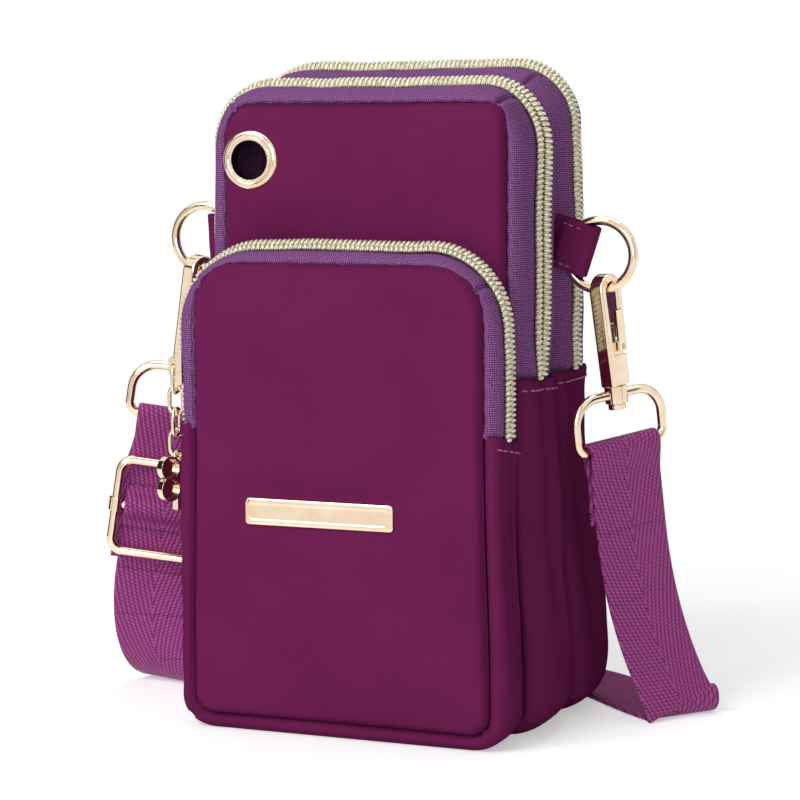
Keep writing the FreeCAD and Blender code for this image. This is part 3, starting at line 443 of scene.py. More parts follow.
class Graph:
    """A material under construction: a principled shader and what feeds it."""

    def __init__(self, name: str, **shader: Value) -> None:
        """Starts a material.

        Args:
            name: the material's name.
            shader: values of the shader's sockets, whose names have _ for a space.
        """
        self.material = bpy.data.materials.new(name)
        self.material.use_nodes = True
        self.tree = self.material.node_tree
        self.tree.nodes.clear()
        self.shader = self.add("ShaderNodeBsdfPrincipled", shader)
        self.end = self.add("ShaderNodeOutputMaterial", {"Surface": self.shader.outputs[0]})

    def add(self, kind: str, sockets: dict[Union[str, int], Value], **options: object) -> bpy.types.Node:
        """Adds a node and sets or links its sockets.

        Args:
            kind: the node's type.
            sockets: what its inputs are set to or linked from, by name or number.
            options: the node's own settings.

        Returns:
            The node.
        """
        node = self.tree.nodes.new(kind)
        for key, value in options.items():
            setattr(node, key, value)
        for key, value in sockets.items():
            self.put(node, key, value)
        return node

    def put(self, node: bpy.types.Node, key: Union[str, int], value: Value) -> None:
        """Links a socket to another's output, or sets its value.

        Args:
            node: the node.
            key: its input's name, with _ for a space, or number.
            value: the output or the value.
        """
        place = node.inputs[key.replace("_", " ") if isinstance(key, str) else key]
        if isinstance(value, bpy.types.NodeSocket):
            self.tree.links.new(value, place)
        else:
            place.default_value = value

    def feed(self, **sockets: Value) -> None:
        """Feeds the shader's sockets, whose names have _ for a space."""
        for key, value in sockets.items():
            self.put(self.shader, key, value)

    def cloth(self) -> tuple[Socket, Socket, Socket]:
        """The cloth coordinates in millimetres: the vector, the run and the place across.

        Returns:
            Three sockets.
        """
        vector = self.add("ShaderNodeUVMap", {}, uv_map="cloth").outputs[0]
        parts = self.add("ShaderNodeSeparateXYZ", {0: vector})
        return vector, parts.outputs[0], parts.outputs[1]

    def place(self) -> Socket:
        """Object coordinates in metres."""
        return self.add("ShaderNodeTexCoord", {}).outputs["Object"]

    def math(self, what: str, one: Value, two: Value = 0.0) -> Socket:
        """One sum on numbers."""
        return self.add("ShaderNodeMath", {0: one, 1: two}, operation=what).outputs[0]

    def total(self, *parts: tuple[Value, float], base: Value = 0.0) -> Value:
        """A base and each part times its share, added up.

        Args:
            parts: numbers with their shares.
            base: what they are added to.

        Returns:
            The sum.
        """
        for part, share in parts:
            sockets = {0: part, 1: share, 2: base}
            base = self.add("ShaderNodeMath", sockets, operation="MULTIPLY_ADD").outputs[0]
        return base

    def wave(self, run: Value, pitch: float, shift: Value = 0.0) -> Socket:
        """A sine of a length over a pitch, from 0 to 1."""
        angle = self.total((run, TAU / pitch), base=shift)
        return self.total((self.math("SINE", angle), 0.5), base=0.5)

    def noise(self, vector: Socket, scale: float, detail: float = 3.0) -> Socket:
        """Noise from 0 to 1."""
        sockets = {"Vector": vector, "Scale": scale, "Detail": detail}
        return self.add("ShaderNodeTexNoise", sockets).outputs[0]

    def ramp(self, value: Socket, *stops: tuple[float, Sequence[float]]) -> Socket:
        """Colours along a number.

        Args:
            value: the number.
            stops: places from 0 to 1 with their colours.

        Returns:
            The colour.
        """
        node = self.add("ShaderNodeValToRGB", {0: value})
        ends = node.color_ramp.elements
        for number, (place, colour) in enumerate(stops):
            stop = ends[number] if number < 2 else ends.new(place)
            stop.position, stop.color = place, (*colour, 1)
        return node.outputs[0]

    def bump(self, height: Socket, depth: float, strength: float = 1.0,
             under: Optional[Socket] = None) -> Socket:
        """A normal from a height of 0 to 1 that stands for a depth in millimetres.

        Args:
            height: the height.
            depth: the depth.
            strength: how much of it is used.
            under: a normal that it lies on.

        Returns:
            The normal.
        """
        sockets = {"Height": height, "Distance": depth * MM, "Strength": strength}
        if under is not None:
            sockets["Normal"] = under
        return self.add("ShaderNodeBump", sockets).outputs[0]


class Finish:
    """A surface's look, made once."""

    name: str
    slot: Slot

    def build(self) -> bpy.types.Material:
        """Builds the material."""
        raise NotImplementedError

    def material(self) -> bpy.types.Material:
        """The material, built at its first use."""
        return bpy.data.materials.get(self.name) or self.build()


@dataclass(frozen=True)
class Nylon(Finish):
    """Closely woven satin nylon."""

    name: str = "plum_nylon"
    slot: Slot = Slot.NYLON
    deep: Colour = (0.122, 0.0125, 0.065)
    plain: Colour = (0.147, 0.0155, 0.080)
    pale: Colour = (0.170, 0.0185, 0.093)
    thread: float = 0.46
    streak: tuple[float, float, float] = (1.6, 0.05, 1)

    def build(self) -> bpy.types.Material:
        """Plum with faint streaks along the warp, fine grain and a tight plain weave.

        Returns:
            The material.
        """
        graph = Graph(self.name, Specular_IOR_Level=0.0)
        vector, run, over = graph.cloth()
        cloud = graph.noise(vector, 0.03, 3)
        drawn = graph.add("ShaderNodeMapping", {0: vector, "Scale": self.streak}).outputs[0]
        warp = graph.noise(drawn, 1.0, 3)
        grain = graph.noise(vector, 2.6, 2)
        weave = graph.math("MULTIPLY", graph.wave(run, self.thread), graph.wave(over, self.thread))
        tone = graph.total((cloud, 0.45), (warp, 0.13), (grain, 0.42))
        colour = graph.ramp(tone, (0.32, self.deep), (0.68, self.pale), (0.5, self.plain))
        height = graph.total((weave, 0.6), (grain, 0.5))
        creep = graph.bump(graph.noise(vector, 0.13, 3), 0.4, 0.4)
        graph.feed(Base_Color=colour, Normal=graph.bump(height, 0.05, 0.5, creep),
                   Roughness=graph.total((grain, 0.14), base=0.36))
        return graph.material


@dataclass(frozen=True)
class Tape(Finish):
    """Violet zip tape with fine ribs across it and pale specks."""

    name: str = "violet_zip_tape"
    slot: Slot = Slot.TAPE
    deep: Colour = (0.056, 0.015, 0.074)
    plain: Colour = (0.205, 0.064, 0.215)
    speck: Colour = (0.430, 0.205, 0.440)
    rib: float = 0.62
    thread: float = 0.9

    def build(self) -> bpy.types.Material:
        """Crosswise ribs that waver, broken into stitches by threads along the tape, with pale specks.

        Returns:
            The material.
        """
        graph = Graph(self.name, Roughness=0.85, Specular_IOR_Level=0.06)
        vector, run, over = graph.cloth()
        waver = graph.math("MULTIPLY", graph.noise(vector, 0.45, 3), 5.0)
        rib = graph.wave(run, self.rib, waver)
        thread = graph.wave(over, self.thread, graph.math("MULTIPLY", waver, 1.7))
        speck = graph.noise(vector, 1.5, 3)
        height = graph.total((rib, 0.6), (thread, 0.4))
        tone = graph.total((height, 0.5), (speck, 0.5))
        colour = graph.ramp(tone, (0.26, self.deep), (0.78, self.speck), (0.52, self.plain))
        graph.feed(Base_Color=colour, Normal=graph.bump(height, 0.10, 0.7))
        return graph.material


@dataclass(frozen=True)
class Coil(Finish):
    """Pale gold zip teeth."""

    name: str = "pale_gold_coil"
    slot: Slot = Slot.COIL
    deep: Colour = (0.50, 0.445, 0.25)
    pale: Colour = (0.85, 0.81, 0.63)

    def build(self) -> bpy.types.Material:
        """Lacquered cream gold, uneven from tooth to tooth.

        Returns:
            The material.
        """
        graph = Graph(self.name, Metallic=0.30, Coat_Weight=0.3, Coat_Roughness=0.2, Specular_IOR_Level=0.6)
        place = graph.place()
        tone = graph.noise(place, 900, 3)
        graph.feed(Base_Color=graph.ramp(tone, (0.30, self.deep), (0.58, self.pale)),
                   Roughness=graph.total((tone, 0.2), base=0.2),
                   Normal=graph.bump(graph.noise(place, 2600, 2), 0.03, 0.5))
        return graph.material


@dataclass(frozen=True)
class Webbing(Finish):
    """Herringbone webbing: ribs that meet in a V down the middle, with small pits between them; the colour
    paints shade into the pits and a highlight onto the rib tops.
    """

    name: str = "purple_webbing"
    slot: Slot = Slot.WEBBING
    # groove is painted shade for the pits, ridge a painted highlight for the rib tops, plain lies between
    # them
    groove: Colour = (0.066, 0.005, 0.047)
    plain: Colour = (0.285, 0.037, 0.196)
    ridge: Colour = (0.395, 0.071, 0.275)
    pitch: float = 1.45
    lean: float = 0.27
    bead: float = 1.15
    stagger: float = 2.4

    def build(self) -> bpy.types.Material:
        """Rib phase = (distance from the middle + lean x run) / pitch, with pits spaced along each furrow;
        painted shade darkens the pits and a painted highlight lightens the rib tops.

        Returns:
            The material.
        """
        graph = Graph(self.name, Specular_IOR_Level=0.30, Specular_Tint=(1.0, 0.6, 0.9, 1))
        vector, run, over = graph.cloth()
        aside = graph.math("ABSOLUTE", over)
        rib_run = graph.total((run, self.lean), base=aside)
        count = graph.math("FLOOR", graph.math("DIVIDE", rib_run, self.pitch))
        rib = graph.wave(rib_run, self.pitch, -np.pi / 2)
        bead = graph.wave(run, self.bead, graph.math("MULTIPLY", count, self.stagger))
        wear = graph.noise(vector, 0.5, 3)
        pit = graph.math("MULTIPLY", graph.math("SUBTRACT", 1.0, rib), graph.math("SUBTRACT", 1.0, bead))
        tone = graph.total((pit, 0.85), (wear, 0.15))
        # painted shade and highlight: the tone follows the pits, so the pits take the dark groove colour and
        # the rib tops the pale ridge colour
        colour = graph.ramp(tone, (0.10, self.ridge), (0.70, self.groove), (0.38, self.plain))
        furrow = graph.total((pit, -0.7), (rib, 0.3))
        graph.feed(Base_Color=colour, Normal=graph.bump(furrow, 0.30, 0.75),
                   Roughness=graph.total((pit, 0.3), base=0.36))
        return graph.material


@dataclass(frozen=True)
class Gold(Finish):
    """Polished pale rose gold plating."""

    name: str = "rose_gold"
    slot: Slot = Slot.GOLD
    deep: Colour = (0.86, 0.66, 0.46)
    pale: Colour = (0.95, 0.79, 0.61)
    edge: float = 0.22

    def build(self) -> bpy.types.Material:
        """Bright plating with slow tone changes, fine scratches and softened edges.

        Returns:
            The material.
        """
        graph = Graph(self.name, Metallic=1.0)
        place = graph.place()
        tone = graph.noise(place, 160, 3)
        scratch = graph.noise(place, 1500, 2)
        edge = graph.add("ShaderNodeBevel", {"Radius": self.edge * MM}, samples=4).outputs[0]
        graph.feed(Base_Color=graph.ramp(tone, (0.3, self.deep), (0.7, self.pale)),
                   Roughness=graph.total((scratch, 0.08), base=0.05),
                   Normal=graph.bump(scratch, 0.01, 0.35, edge))
        return graph.material


@dataclass(frozen=True)
class Steel(Finish):
    """Plain spring steel."""

    name: str = "spring_steel"
    slot: Slot = Slot.STEEL
    deep: Colour = (0.38, 0.37, 0.36)
    pale: Colour = (0.58, 0.57, 0.55)

    def build(self) -> bpy.types.Material:
        """Grey steel with a drawn grain.

        Returns:
            The material.
        """
        graph = Graph(self.name, Metallic=1.0)
        tone = graph.noise(graph.place(), 700, 4)
        graph.feed(Base_Color=graph.ramp(tone, (0.3, self.deep), (0.7, self.pale)),
                   Roughness=graph.total((tone, 0.2), base=0.2))
        return graph.material


@dataclass(frozen=True)
class Lining(Finish):
    """Thin dark lining cloth."""

    name: str = "dark_lining"
    slot: Slot = Slot.LINING
    deep: Colour = (0.004, 0.002, 0.004)
    pale: Colour = (0.012, 0.005, 0.012)
    thread: float = 0.7

    def build(self) -> bpy.types.Material:
        """Dark purple with a soft weave.

        Returns:
            The material.
        """
        graph = Graph(self.name, Roughness=0.7)
        vector, run, over = graph.cloth()
        weave = graph.math("MULTIPLY", graph.wave(run, self.thread), graph.wave(over, self.thread))
        graph.feed(Base_Color=graph.ramp(graph.noise(vector, 0.3), (0.3, self.deep), (0.7, self.pale)),
                   Normal=graph.bump(weave, 0.05, 0.5))
        return graph.material


@dataclass(frozen=True)
class Thread(Finish):
    """Twisted sewing thread."""

    name: str = "lilac_thread"
    slot: Slot = Slot.NYLON
    deep: Colour = (0.20, 0.055, 0.15)
    pale: Colour = (0.44, 0.19, 0.36)
    twist: float = 0.5

    def build(self) -> bpy.types.Material:
        """Lilac with the strands' slanting twist.

        Returns:
            The material.
        """
        graph = Graph(self.name, Roughness=0.5, Sheen_Weight=0.3)
        _, run, over = graph.cloth()
        twist = graph.wave(run, self.twist, graph.math("MULTIPLY", over, TAU))
        graph.feed(Base_Color=graph.ramp(twist, (0.1, self.deep), (0.9, self.pale)),
                   Normal=graph.bump(twist, 0.06, 0.8))
        return graph.material


NYLON, TAPE, COIL, WEBBING = Nylon(), Tape(), Coil(), Webbing()
GOLD, STEEL, LINING, THREAD = Gold(), Steel(), Lining(), Thread()


# ---------------------------------------------------------------- the pouch


@dataclass(frozen=True)
class Stitching:
    """A row of short thread stitches lying on cloth.

    Attributes:
        pitch: from one stitch to the next.
        long: a stitch's length.
        thick: the thread's radius.
        jitter: how far a stitch may stray along the row, as a share of the pitch.
        sway: how far its direction may stray.
        proud: how high its middle line stands, as a share of its radius.
    """

    pitch: float = 3.0
    long: float = 2.2
    thick: float = 0.24
    jitter: float = 0.12
    sway: float = 0.015
    proud: float = 0.45

    def form(self) -> Stock:
        """One stitch along X that dips at both ends.

        Returns:
            The form.
        """
        x = np.linspace(-0.5, 0.5, 7) * self.long
        dip = -1.2 * self.thick * (2 * x / self.long) ** 4
        radius = self.thick * np.sqrt(np.clip(1.04 - (2 * x / self.long) ** 6, 0.05, 1))
        return rod(np.stack([x, 0 * x, dip], 1), radius, 6)

    def sew(self, stock: Stock, line: Array, outward: Array, seed: int) -> None:
        """Sews along a line.

        Args:
            stock: what the stitches are added to.
            line: points on the cloth.
            outward: the cloth's outward direction at each of them.
            seed: for the stitches' small differences.
        """
        run = along(line)
        draw = np.random.default_rng(seed)
        places = np.arange(self.pitch / 2, run[-1] - self.pitch / 3, self.pitch)
        places = places + draw.uniform(-self.jitter, self.jitter, len(places)) * self.pitch

        def sampled(of: Array) -> Array:
            """Vectors given along the line, at the stitches' places."""
            return np.stack([np.interp(places, run, of[:, k]) for k in range(3)], 1)

        way = unit(sampled(np.gradient(line, axis=0)) + draw.normal(0, self.sway, (len(places), 3)))
        up = sampled(outward)
        up = unit(up - (up * way).sum(1, keepdims=True) * way)
        axes = np.stack([way, np.cross(up, way), up], 1)
        stock.copies(self.form(), sampled(line) + up * self.thick * self.proud, axes)


@dataclass(frozen=True)
class Crease:
    """A sharp fold in cloth: a narrow groove between low ridges, with heights and widths in millimetres."""

    ridge: float
    ridge_wide: float
    groove: float
    groove_wide: float

    def at(self, near: Array) -> Array:
        """The height at distances from the fold: ridge e^(-(d/w)^2) - groove e^(-(d/v)^2)."""
        return self.ridge * bell(near, self.ridge_wide) - self.groove * bell(near, self.groove_wide)


@dataclass(frozen=True)
class Folds:
    """How a gusset is turned at its hems, hollowed, folded and creased, in millimetres.

    Attributes:
        rest: its height over the band.
        hem: how much higher the turned hem stands.
        hem_ends: where the turned hem ends, from its edge.
        edge: how far the hem's edge is rounded down.
        edge_wide: the rounding's width.
        side: the levels between which the sides' hollow and folds begin.
        hollow: the hollow's depth.
        hollow_at: its place across the band, from -1 to 1.
        hollow_wide: its width there.
        fold: the long folds' height.
        fold_count: how many lie across half of the band.
        fold_drift: the length along the band in which they shift by one.
        crimp: height of the crimps below the hem.
        crimp_pitch: from one crimp to the next.
        crimp_fade: how soon they end.
        corner: the crease at each lower corner.
        corner_span: the places across the band where that begins and is whole.
    """

    rest: float = 0.45
    hem: float = 0.45
    hem_ends: Pair = (3.6, 4.6)
    edge: float = 0.5
    edge_wide: float = 0.9
    side: Pair = (14.0, 45.0)
    hollow: float = 1.2
    hollow_at: float = 0.1
    hollow_wide: float = 0.36
    fold: float = 0.6
    fold_count: float = 0.9
    fold_drift: float = 900.0
    crimp: float = 0.24
    crimp_pitch: float = 5.2
    crimp_fade: float = 7.0
    corner: Crease = Crease(0.5, 3.5, 1.5, 0.9)
    corner_span: Pair = (0.55, 0.97)


@dataclass(frozen=True)
class Roll:
    """How a zip tape lies between its seam and the coil, in millimetres.

    Attributes:
        below: how far it is laid past the hem.
        kept: how far past the hem it is kept.
        slit: half of the slit between the two tapes.
        dip: its depth under the coil.
        dip_span: where that starts to end and ends, from the coil's edge.
        plump: height of the roll beside the coil.
        plump_at: the roll's middle, from the coil's edge.
        plump_wide: its width.
        drape: the tape's extra length over the shoulder.
        pucker: height of the puckers along the seam.
        pucker_pitch: from one pucker to the next.
        pucker_fade: how soon they end.
        waver: how far, in radians, the puckers stray.
        waver_long: the length in which they stray.
        corner: the crease at each upper corner.
        sunk: the tape's depth behind the hem.
        sunk_span: where that starts to end and ends, from the hem.
    """

    below: float = 3.0
    kept: float = -1.0
    slit: float = 0.25
    dip: float = 1.1
    dip_span: Pair = (-0.3, 1.2)
    plump: float = 0.3
    plump_at: float = 3.2
    plump_wide: float = 1.8
    drape: float = 5.6
    pucker: float = 0.2
    pucker_pitch: float = 6.3
    pucker_fade: float = 3.0
    waver: float = 2.0
    waver_long: float = 30.0
    corner: Crease = Crease(1.0, 3.4, 2.9, 0.9)
    sunk: float = 0.8
    sunk_span: Pair = (-0.2, 1.4)


@dataclass(frozen=True)
class Compartment:
    """One zipped compartment: the gusset below, the two zip tapes and the coil above it.

    Attributes:
        name: the word that starts its nodes' names.
        outline: the band's outline.
        seam_round: radius of the panel seam's upper corners.
        front: Y of the front seam.
        back: Y of the back seam.
        hem: the hem's level.
        seed: for its unevenness.
        flare: how far the right side swells near the bottom.
        hem_fall: how much lower the hem is at the back than at the front.
        tilt: how far the coil turns to the front on the sides, in degrees.
        top_tilt: the same on the top.
        crease: where the tape folds on each upper corner, in degrees from the side.
        left_round: radius of the panel seam's upper left corner.
        nip: how much further in the seam lies on the left side.
        shoulder: how far the seam is drawn in from the outline.
        crown: how far the band's crest stands past the outline.
        seam_gap: between the seam and the compartment's end.
        tuck: how far the cloth is drawn in beside the seam.
        tuck_high: how soon that ends, by the band's height.
        fullness: power of the gusset's superellipse.
        tape_fullness: the same for the tapes.
        coil_half: half of the coil's width.
        coil_proud: how far the teeth stand over the crest.
        tooth_pitch: from one tooth to the next.
        turn_span: where the coil's turn begins and is whole, from the hem.
        turn_wide: how far across the band the turn reaches.
        flare_level: the level where the right side swells most.
        flare_tall: how far up and down that reaches.
        soft: height and wavelength of the band's waves.
        soft_level: the level below which they don't lift the band.
        lining_gap: between the lining and the band.
        lining_round: radius of the lining's upper corners.
        folds: the gusset's folds.
        roll: how the tapes lie.
        stitching: the hem's thread.
    """

    name: str
    outline: Outline
    seam_round: float
    front: float
    back: float
    hem: float
    seed: int
    flare: float = 0.0
    hem_fall: float = 0.0
    tilt: float = 0.0
    top_tilt: float = 20.0
    crease: float = 60.0
    left_round: float = 13.0
    nip: float = 0.0
    shoulder: float = 5.5
    crown: float = 0.15
    seam_gap: float = 0.35
    tuck: float = 2.6
    tuck_high: float = 1.3
    fullness: float = 3.2
    tape_fullness: float = 2.15
    coil_half: float = 2.7
    coil_proud: float = 0.22
    tooth_pitch: float = 1.48
    turn_span: Pair = (-2.0, 16.0)
    turn_wide: float = 6.5
    flare_level: float = 18.0
    flare_tall: float = 42.0
    soft: tuple[Pair, ...] = ((0.42, 42.0), (0.16, 15.0))
    soft_level: float = 30.0
    lining_gap: float = 2.4
    lining_round: float = 9.0
    folds: Folds = Folds()
    roll: Roll = Roll()
    stitching: Stitching = Stitching()

    @classmethod
    def of(cls, name: str, corner: float, seam_round: float, seed: int, **looks: float) -> "Compartment":
        """Reads a compartment's sizes from the frame.

        Args:
            name: the compartment's word.
            corner: radius of its upper corners.
            seam_round: radius of its seam's upper corners.
            seed: for its unevenness.
            looks: further fields.

        Returns:
            The compartment.
        """
        low, high = corners(f"{name}_gusset")
        top = corners(f"{name}_zip_tape_fore")[1][2]
        outline = Outline(high[0], 0.0, top, LOW_ROUND, corner)
        return cls(name, outline, seam_round, low[1], high[1], high[2], seed, **looks)

    @property
    def middle(self) -> float:
        """The zip's place along Y."""
        return (self.front + self.back) / 2

    @property
    def deep(self) -> float:
        """Half of the compartment's depth, less the seam's gap."""
        return (self.back - self.front) / 2 - self.seam_gap

    @property
    def hem_run(self) -> float:
        """The run from the bottom's middle to the right hem."""
        return self.outline.reach(self.hem)

    @property
    def seam(self) -> Outline:
        """The line along which the panels are sewn in."""
        drawn = self.outline.inset(self.shoulder)
        return replace(drawn, high_round=self.seam_round, left_round=self.left_round)

    def nipped(self, x: Array, z: Array) -> Array:
        """How far a point of the seam or the panel is moved in from the left: most at the left seam."""
        share = np.clip(-x / self.seam.half, 0, 1)
        return self.nip * share ** 3 * ease(self.hem * 0.35, self.hem, z)

    def flared(self, x: Array, z: Array) -> Array:
        """How far a point is moved out to the right: most near the bottom of the right side."""
        share = np.clip(x / self.outline.half, 0, 1)
        return self.flare * bell(z - self.flare_level, self.flare_tall) * share ** 2

    def across(self, start: float, end: float, steps: int, power: float) -> tuple[Array, Array]:
        """Places across the band, -1 to 1 from seam to seam, and the pillow's height there, 0 to 1.

        A superellipse |t|^p + h^p = 1 is stepped by its angle, so points close up at the shoulders.

        Args:
            start: the first place.
            end: the last place.
            steps: how many places.
            power: the superellipse's power p.

        Returns:
            The places and the heights.
        """
        places = np.array([start, end])
        turn = np.linspace(*np.arccos(-np.sign(places) * np.abs(places) ** (power / 2)), steps)
        cosine = -np.cos(turn)
        return np.sign(cosine) * np.abs(cosine) ** (2 / power), np.abs(np.sin(turn)) ** (2 / power)

    def turned(self, way_x: Array, z: Array) -> Array:
        """The coil's turn to the front, in radians, blended round the corners and ending at the hem."""
        turn = self.tilt * way_x ** 2 + self.top_tilt * (1 - way_x ** 2)
        return np.radians(turn) * ease(*self.turn_span, z - self.hem)

    def softness(self, points: Array) -> Array:
        """The band's unevenness in millimetres."""
        waves = enumerate(self.soft, self.seed)
        return sum(height * uneven(points, wave, seed) for seed, (height, wave) in waves)

    def wall(self, run: Array, span: tuple[Array, Array], lift: Array) -> Array:
        """The band's points: the outline moved outward by the pillow's height, carried from seam to seam.

        Beside each seam the cloth is tucked in, which leaves a groove round the panel.

        Args:
            run: lengths along the outline, as a column or for each point.
            span: places across the band and the pillow's height there.
            lift: extra height for each point.

        Returns:
            The points.
        """
        t, height = span
        x, z, way_x, way_z = self.outline.at(run)
        rounds = (self.seam_round, self.left_round)
        out = (self.shoulder + self.crown) * height
        rise = out - self.shoulder + lift
        rise = rise + self.outline.gain(way_x, way_z, self.shoulder, rounds) * (1 - height) ** 1.5
        y = t * self.deep
        rise = rise + np.tan(self.turned(way_x, z)) * y * bell(y, self.turn_wide)
        y = self.middle + y - np.sign(t) * self.tuck * bell(out, self.tuck_high) + 0 * x
        points = np.stack([x + way_x * rise, y, z + way_z * rise], -1)
        points[..., 0] += self.nipped(points[..., 0], points[..., 2]) * (1 - height ** 3)
        soft = self.softness(points) * np.clip(height * 1.4 - 0.2, 0, 1)
        points[..., 0] += way_x * soft
        points[..., 2] += way_z * soft * (z > self.soft_level)
        points[..., 0] += self.flared(points[..., 0], points[..., 2])
        points[..., 2] = np.maximum(points[..., 2], 0.0)
        return points

    def gusset(self) -> None:
        """The band from hem to hem round the bottom, hollowed and folded on its sides, with turned hems."""
        folds, step, steps, edge = self.folds, 1.1, 36, 5
        end = self.hem_run
        line = np.linspace(-end, end, int(2 * end / step))
        span = self.across(-1, 1, steps, self.fullness)
        t, band = span[0][None], line[:, None]
        by_hem = ease(0.7, 1, np.abs(line) / end)[:, None]
        run = band - np.sign(band) * t * self.hem_fall / 2 * by_hem
        from_hem = (end - np.abs(line))[:, None]
        side = ease(*folds.side, self.outline.at(line)[1][:, None])
        lift = folds.rest + folds.hem * (1 - ease(*folds.hem_ends, from_hem))
        lift = lift - folds.edge * (1 - ease(0, folds.edge_wide, from_hem))
        lift = lift * np.clip(span[1][None] * 3, 0, 1)
        hollow = -folds.hollow * bell(t - folds.hollow_at, folds.hollow_wide) * side
        phase = t * folds.fold_count + 0.05 * self.seed + band / folds.fold_drift
        fold = folds.fold * np.sin(TAU * phase) * side * (1 - t * t)
        crimp = folds.crimp * np.sin(TAU * band / folds.crimp_pitch + 3 * t)
        crimp = crimp * np.exp(-from_hem / folds.crimp_fade) * (1 - t * t)
        low = self.outline.low_round
        near = (np.abs(line) - (self.outline.half - low + low * np.pi / 4))[:, None]
        crease = folds.corner.at(near) * ease(*folds.corner_span, np.abs(t))
        points = self.wall(run, span, lift + hollow + fold + crimp + crease)
        cloth = joined(t * self.deep * 1.35, band)
        piece = Stock().grid(points, cloth, flip=True).make(f"{self.name}_gusset_cloth", NYLON, wall=0.7)
        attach(piece, "pouch")
        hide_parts(f"{self.name}_gusset")
        thread = Stock()
        inside, seam = slice(edge, -edge), 2.9
        for sign in (-1, 1):
            row = np.argmin(np.abs(line - sign * (end - seam)))
            outward = np.broadcast_to([sign, 0.0, 0.0], points[row, inside].shape)
            self.stitching.sew(thread, points[row, inside], outward, self.seed + sign)
        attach(thread.make(f"{self.name}_hem_stitches", THREAD), "pouch")

    def tapes(self) -> None:
        """The two tapes: rolled beside the coil, creased at the corners, running on under the hem."""
        roll, step, steps = self.roll, 0.6, 30
        end, length = self.hem_run - roll.below, self.outline.length
        line = np.linspace(end, length - end, int((length - 2 * end) / step))
        run = line[:, None]
        arc = self.outline.reach(self.outline.top - self.outline.high_round)
        fold = arc + self.outline.high_round * np.radians(self.crease)
        near = np.minimum(np.abs(run - fold), np.abs(run - length + fold))
        flat = np.stack([line, 0 * line, 0 * line], 1)
        waver = roll.waver * uneven(flat, roll.waver_long, self.seed + 7)[:, None]
        t, height = self.across(-1, -roll.slit / self.deep, steps, self.tape_fullness)
        beside = np.abs(t) * self.deep
        out = beside - self.coil_half
        lift = -roll.dip * (1 - ease(*roll.dip_span, out))
        lift = lift + roll.plump * bell(out - roll.plump_at, roll.plump_wide)
        seam = self.deep - beside + roll.drape * height
        pucker = roll.pucker * np.sin(TAU * run / roll.pucker_pitch + waver)
        lift = lift + pucker * np.exp(-seam / roll.pucker_fade)
        lift = lift + roll.corner.at(near) * (1 - height) ** 0.4 * (1 - np.exp(-seam / 1.5))
        for word, sign in FACES:
            past_hem = np.minimum(run, length - run) - self.hem_run - sign * t * self.hem_fall / 2
            sunk = -roll.sunk * (1 - ease(*roll.sunk_span, past_hem))
            points = self.wall(run, (-sign * t, height), lift + sunk)
            cloth = joined(run, (sign * (beside - roll.drape * height))[None])
            stock = Stock().grid(points, cloth, flip=sign < 0, keep=past_hem[:-1, :-1] > roll.kept)
            piece = stock.make(f"{self.name}_tape_{word}", TAPE, wall=0.5)
            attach(piece, "pouch")
            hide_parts(f"{self.name}_zip_tape_{word}")

    def coil(self) -> None:
        """The teeth: each a bead at the tape's edge that bends in over the sewing line to the middle."""
        end = self.hem_run + 0.6
        places = np.arange(end, self.outline.length - end, self.tooth_pitch)
        aft = np.array([[0.0, 1.0, 0.0]])
        for word, sign in FACES:
            way = np.array([1, sign, 1])
            form = rod(TOOTH[:, :3] * way, TOOTH[:, 3], 7)
            under = rod(LEG[:, :3] * way, LEG[:, 3], 6)
            x, z, way_x, way_z = self.outline.at(places + sign * self.tooth_pitch / 4)
            outward = np.stack([way_x, 0 * x, way_z], 1)
            middle = np.stack([x, 0 * x + self.middle, z], 1) + self.crown * outward
            middle = middle + outward * (self.softness(middle) + self.coil_proud)[:, None]
            turn = self.turned(way_x, z)[:, None]
            axes = np.stack([np.stack([-way_z, 0 * x, way_x], 1),
                             np.cos(turn) * aft + np.sin(turn) * outward,
                             np.cos(turn) * outward - np.sin(turn) * aft], 1)
            stock = Stock().copies(form, middle, axes).copies(under, middle, axes)
            piece = stock.make(f"{self.name}_coil_{word}", COIL)
            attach(piece, "pouch")
            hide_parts(f"{self.name}_zip_row_{word}")

    def lining(self) -> None:
        """A closed inner bag: the outline drawn in, swept from the front's middle round to the back's."""
        gap, face, pole, steps = self.lining_gap, 0.86, 0.01, 8
        bag = Outline(self.outline.half, 0.0, self.hem + gap, LOW_ROUND, self.lining_round).inset(gap)
        run = np.linspace(0, bag.length, 121)[:-1]
        x, z, _, _ = bag.at(run)
        core_z = np.clip(z, bag.half, max(bag.half, bag.top - bag.half))
        turn = np.linspace(-np.pi / 2, np.pi / 2, 25)
        closing = np.linspace(pole, face, steps)
        size = np.concatenate([closing, face + (1 - face) * np.cos(turn), closing[::-1]])[:, None]
        depth = self.deep - gap
        ends = np.full(steps, depth)
        y = np.concatenate([-ends, depth * np.sin(turn), ends])[:, None]
        points = joined(x * size, y + self.middle, core_z + (z - core_z) * size)
        down = np.cumsum(np.full(len(y), 2.0))[:, None]
        cloth = joined(np.append(run, bag.length), down)
        piece = Stock().grid(points, cloth, (False, True), caps=True).make(f"{self.name}_lining_bag", LINING)
        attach(piece, "pouch")
        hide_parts(f"{self.name}_lining")


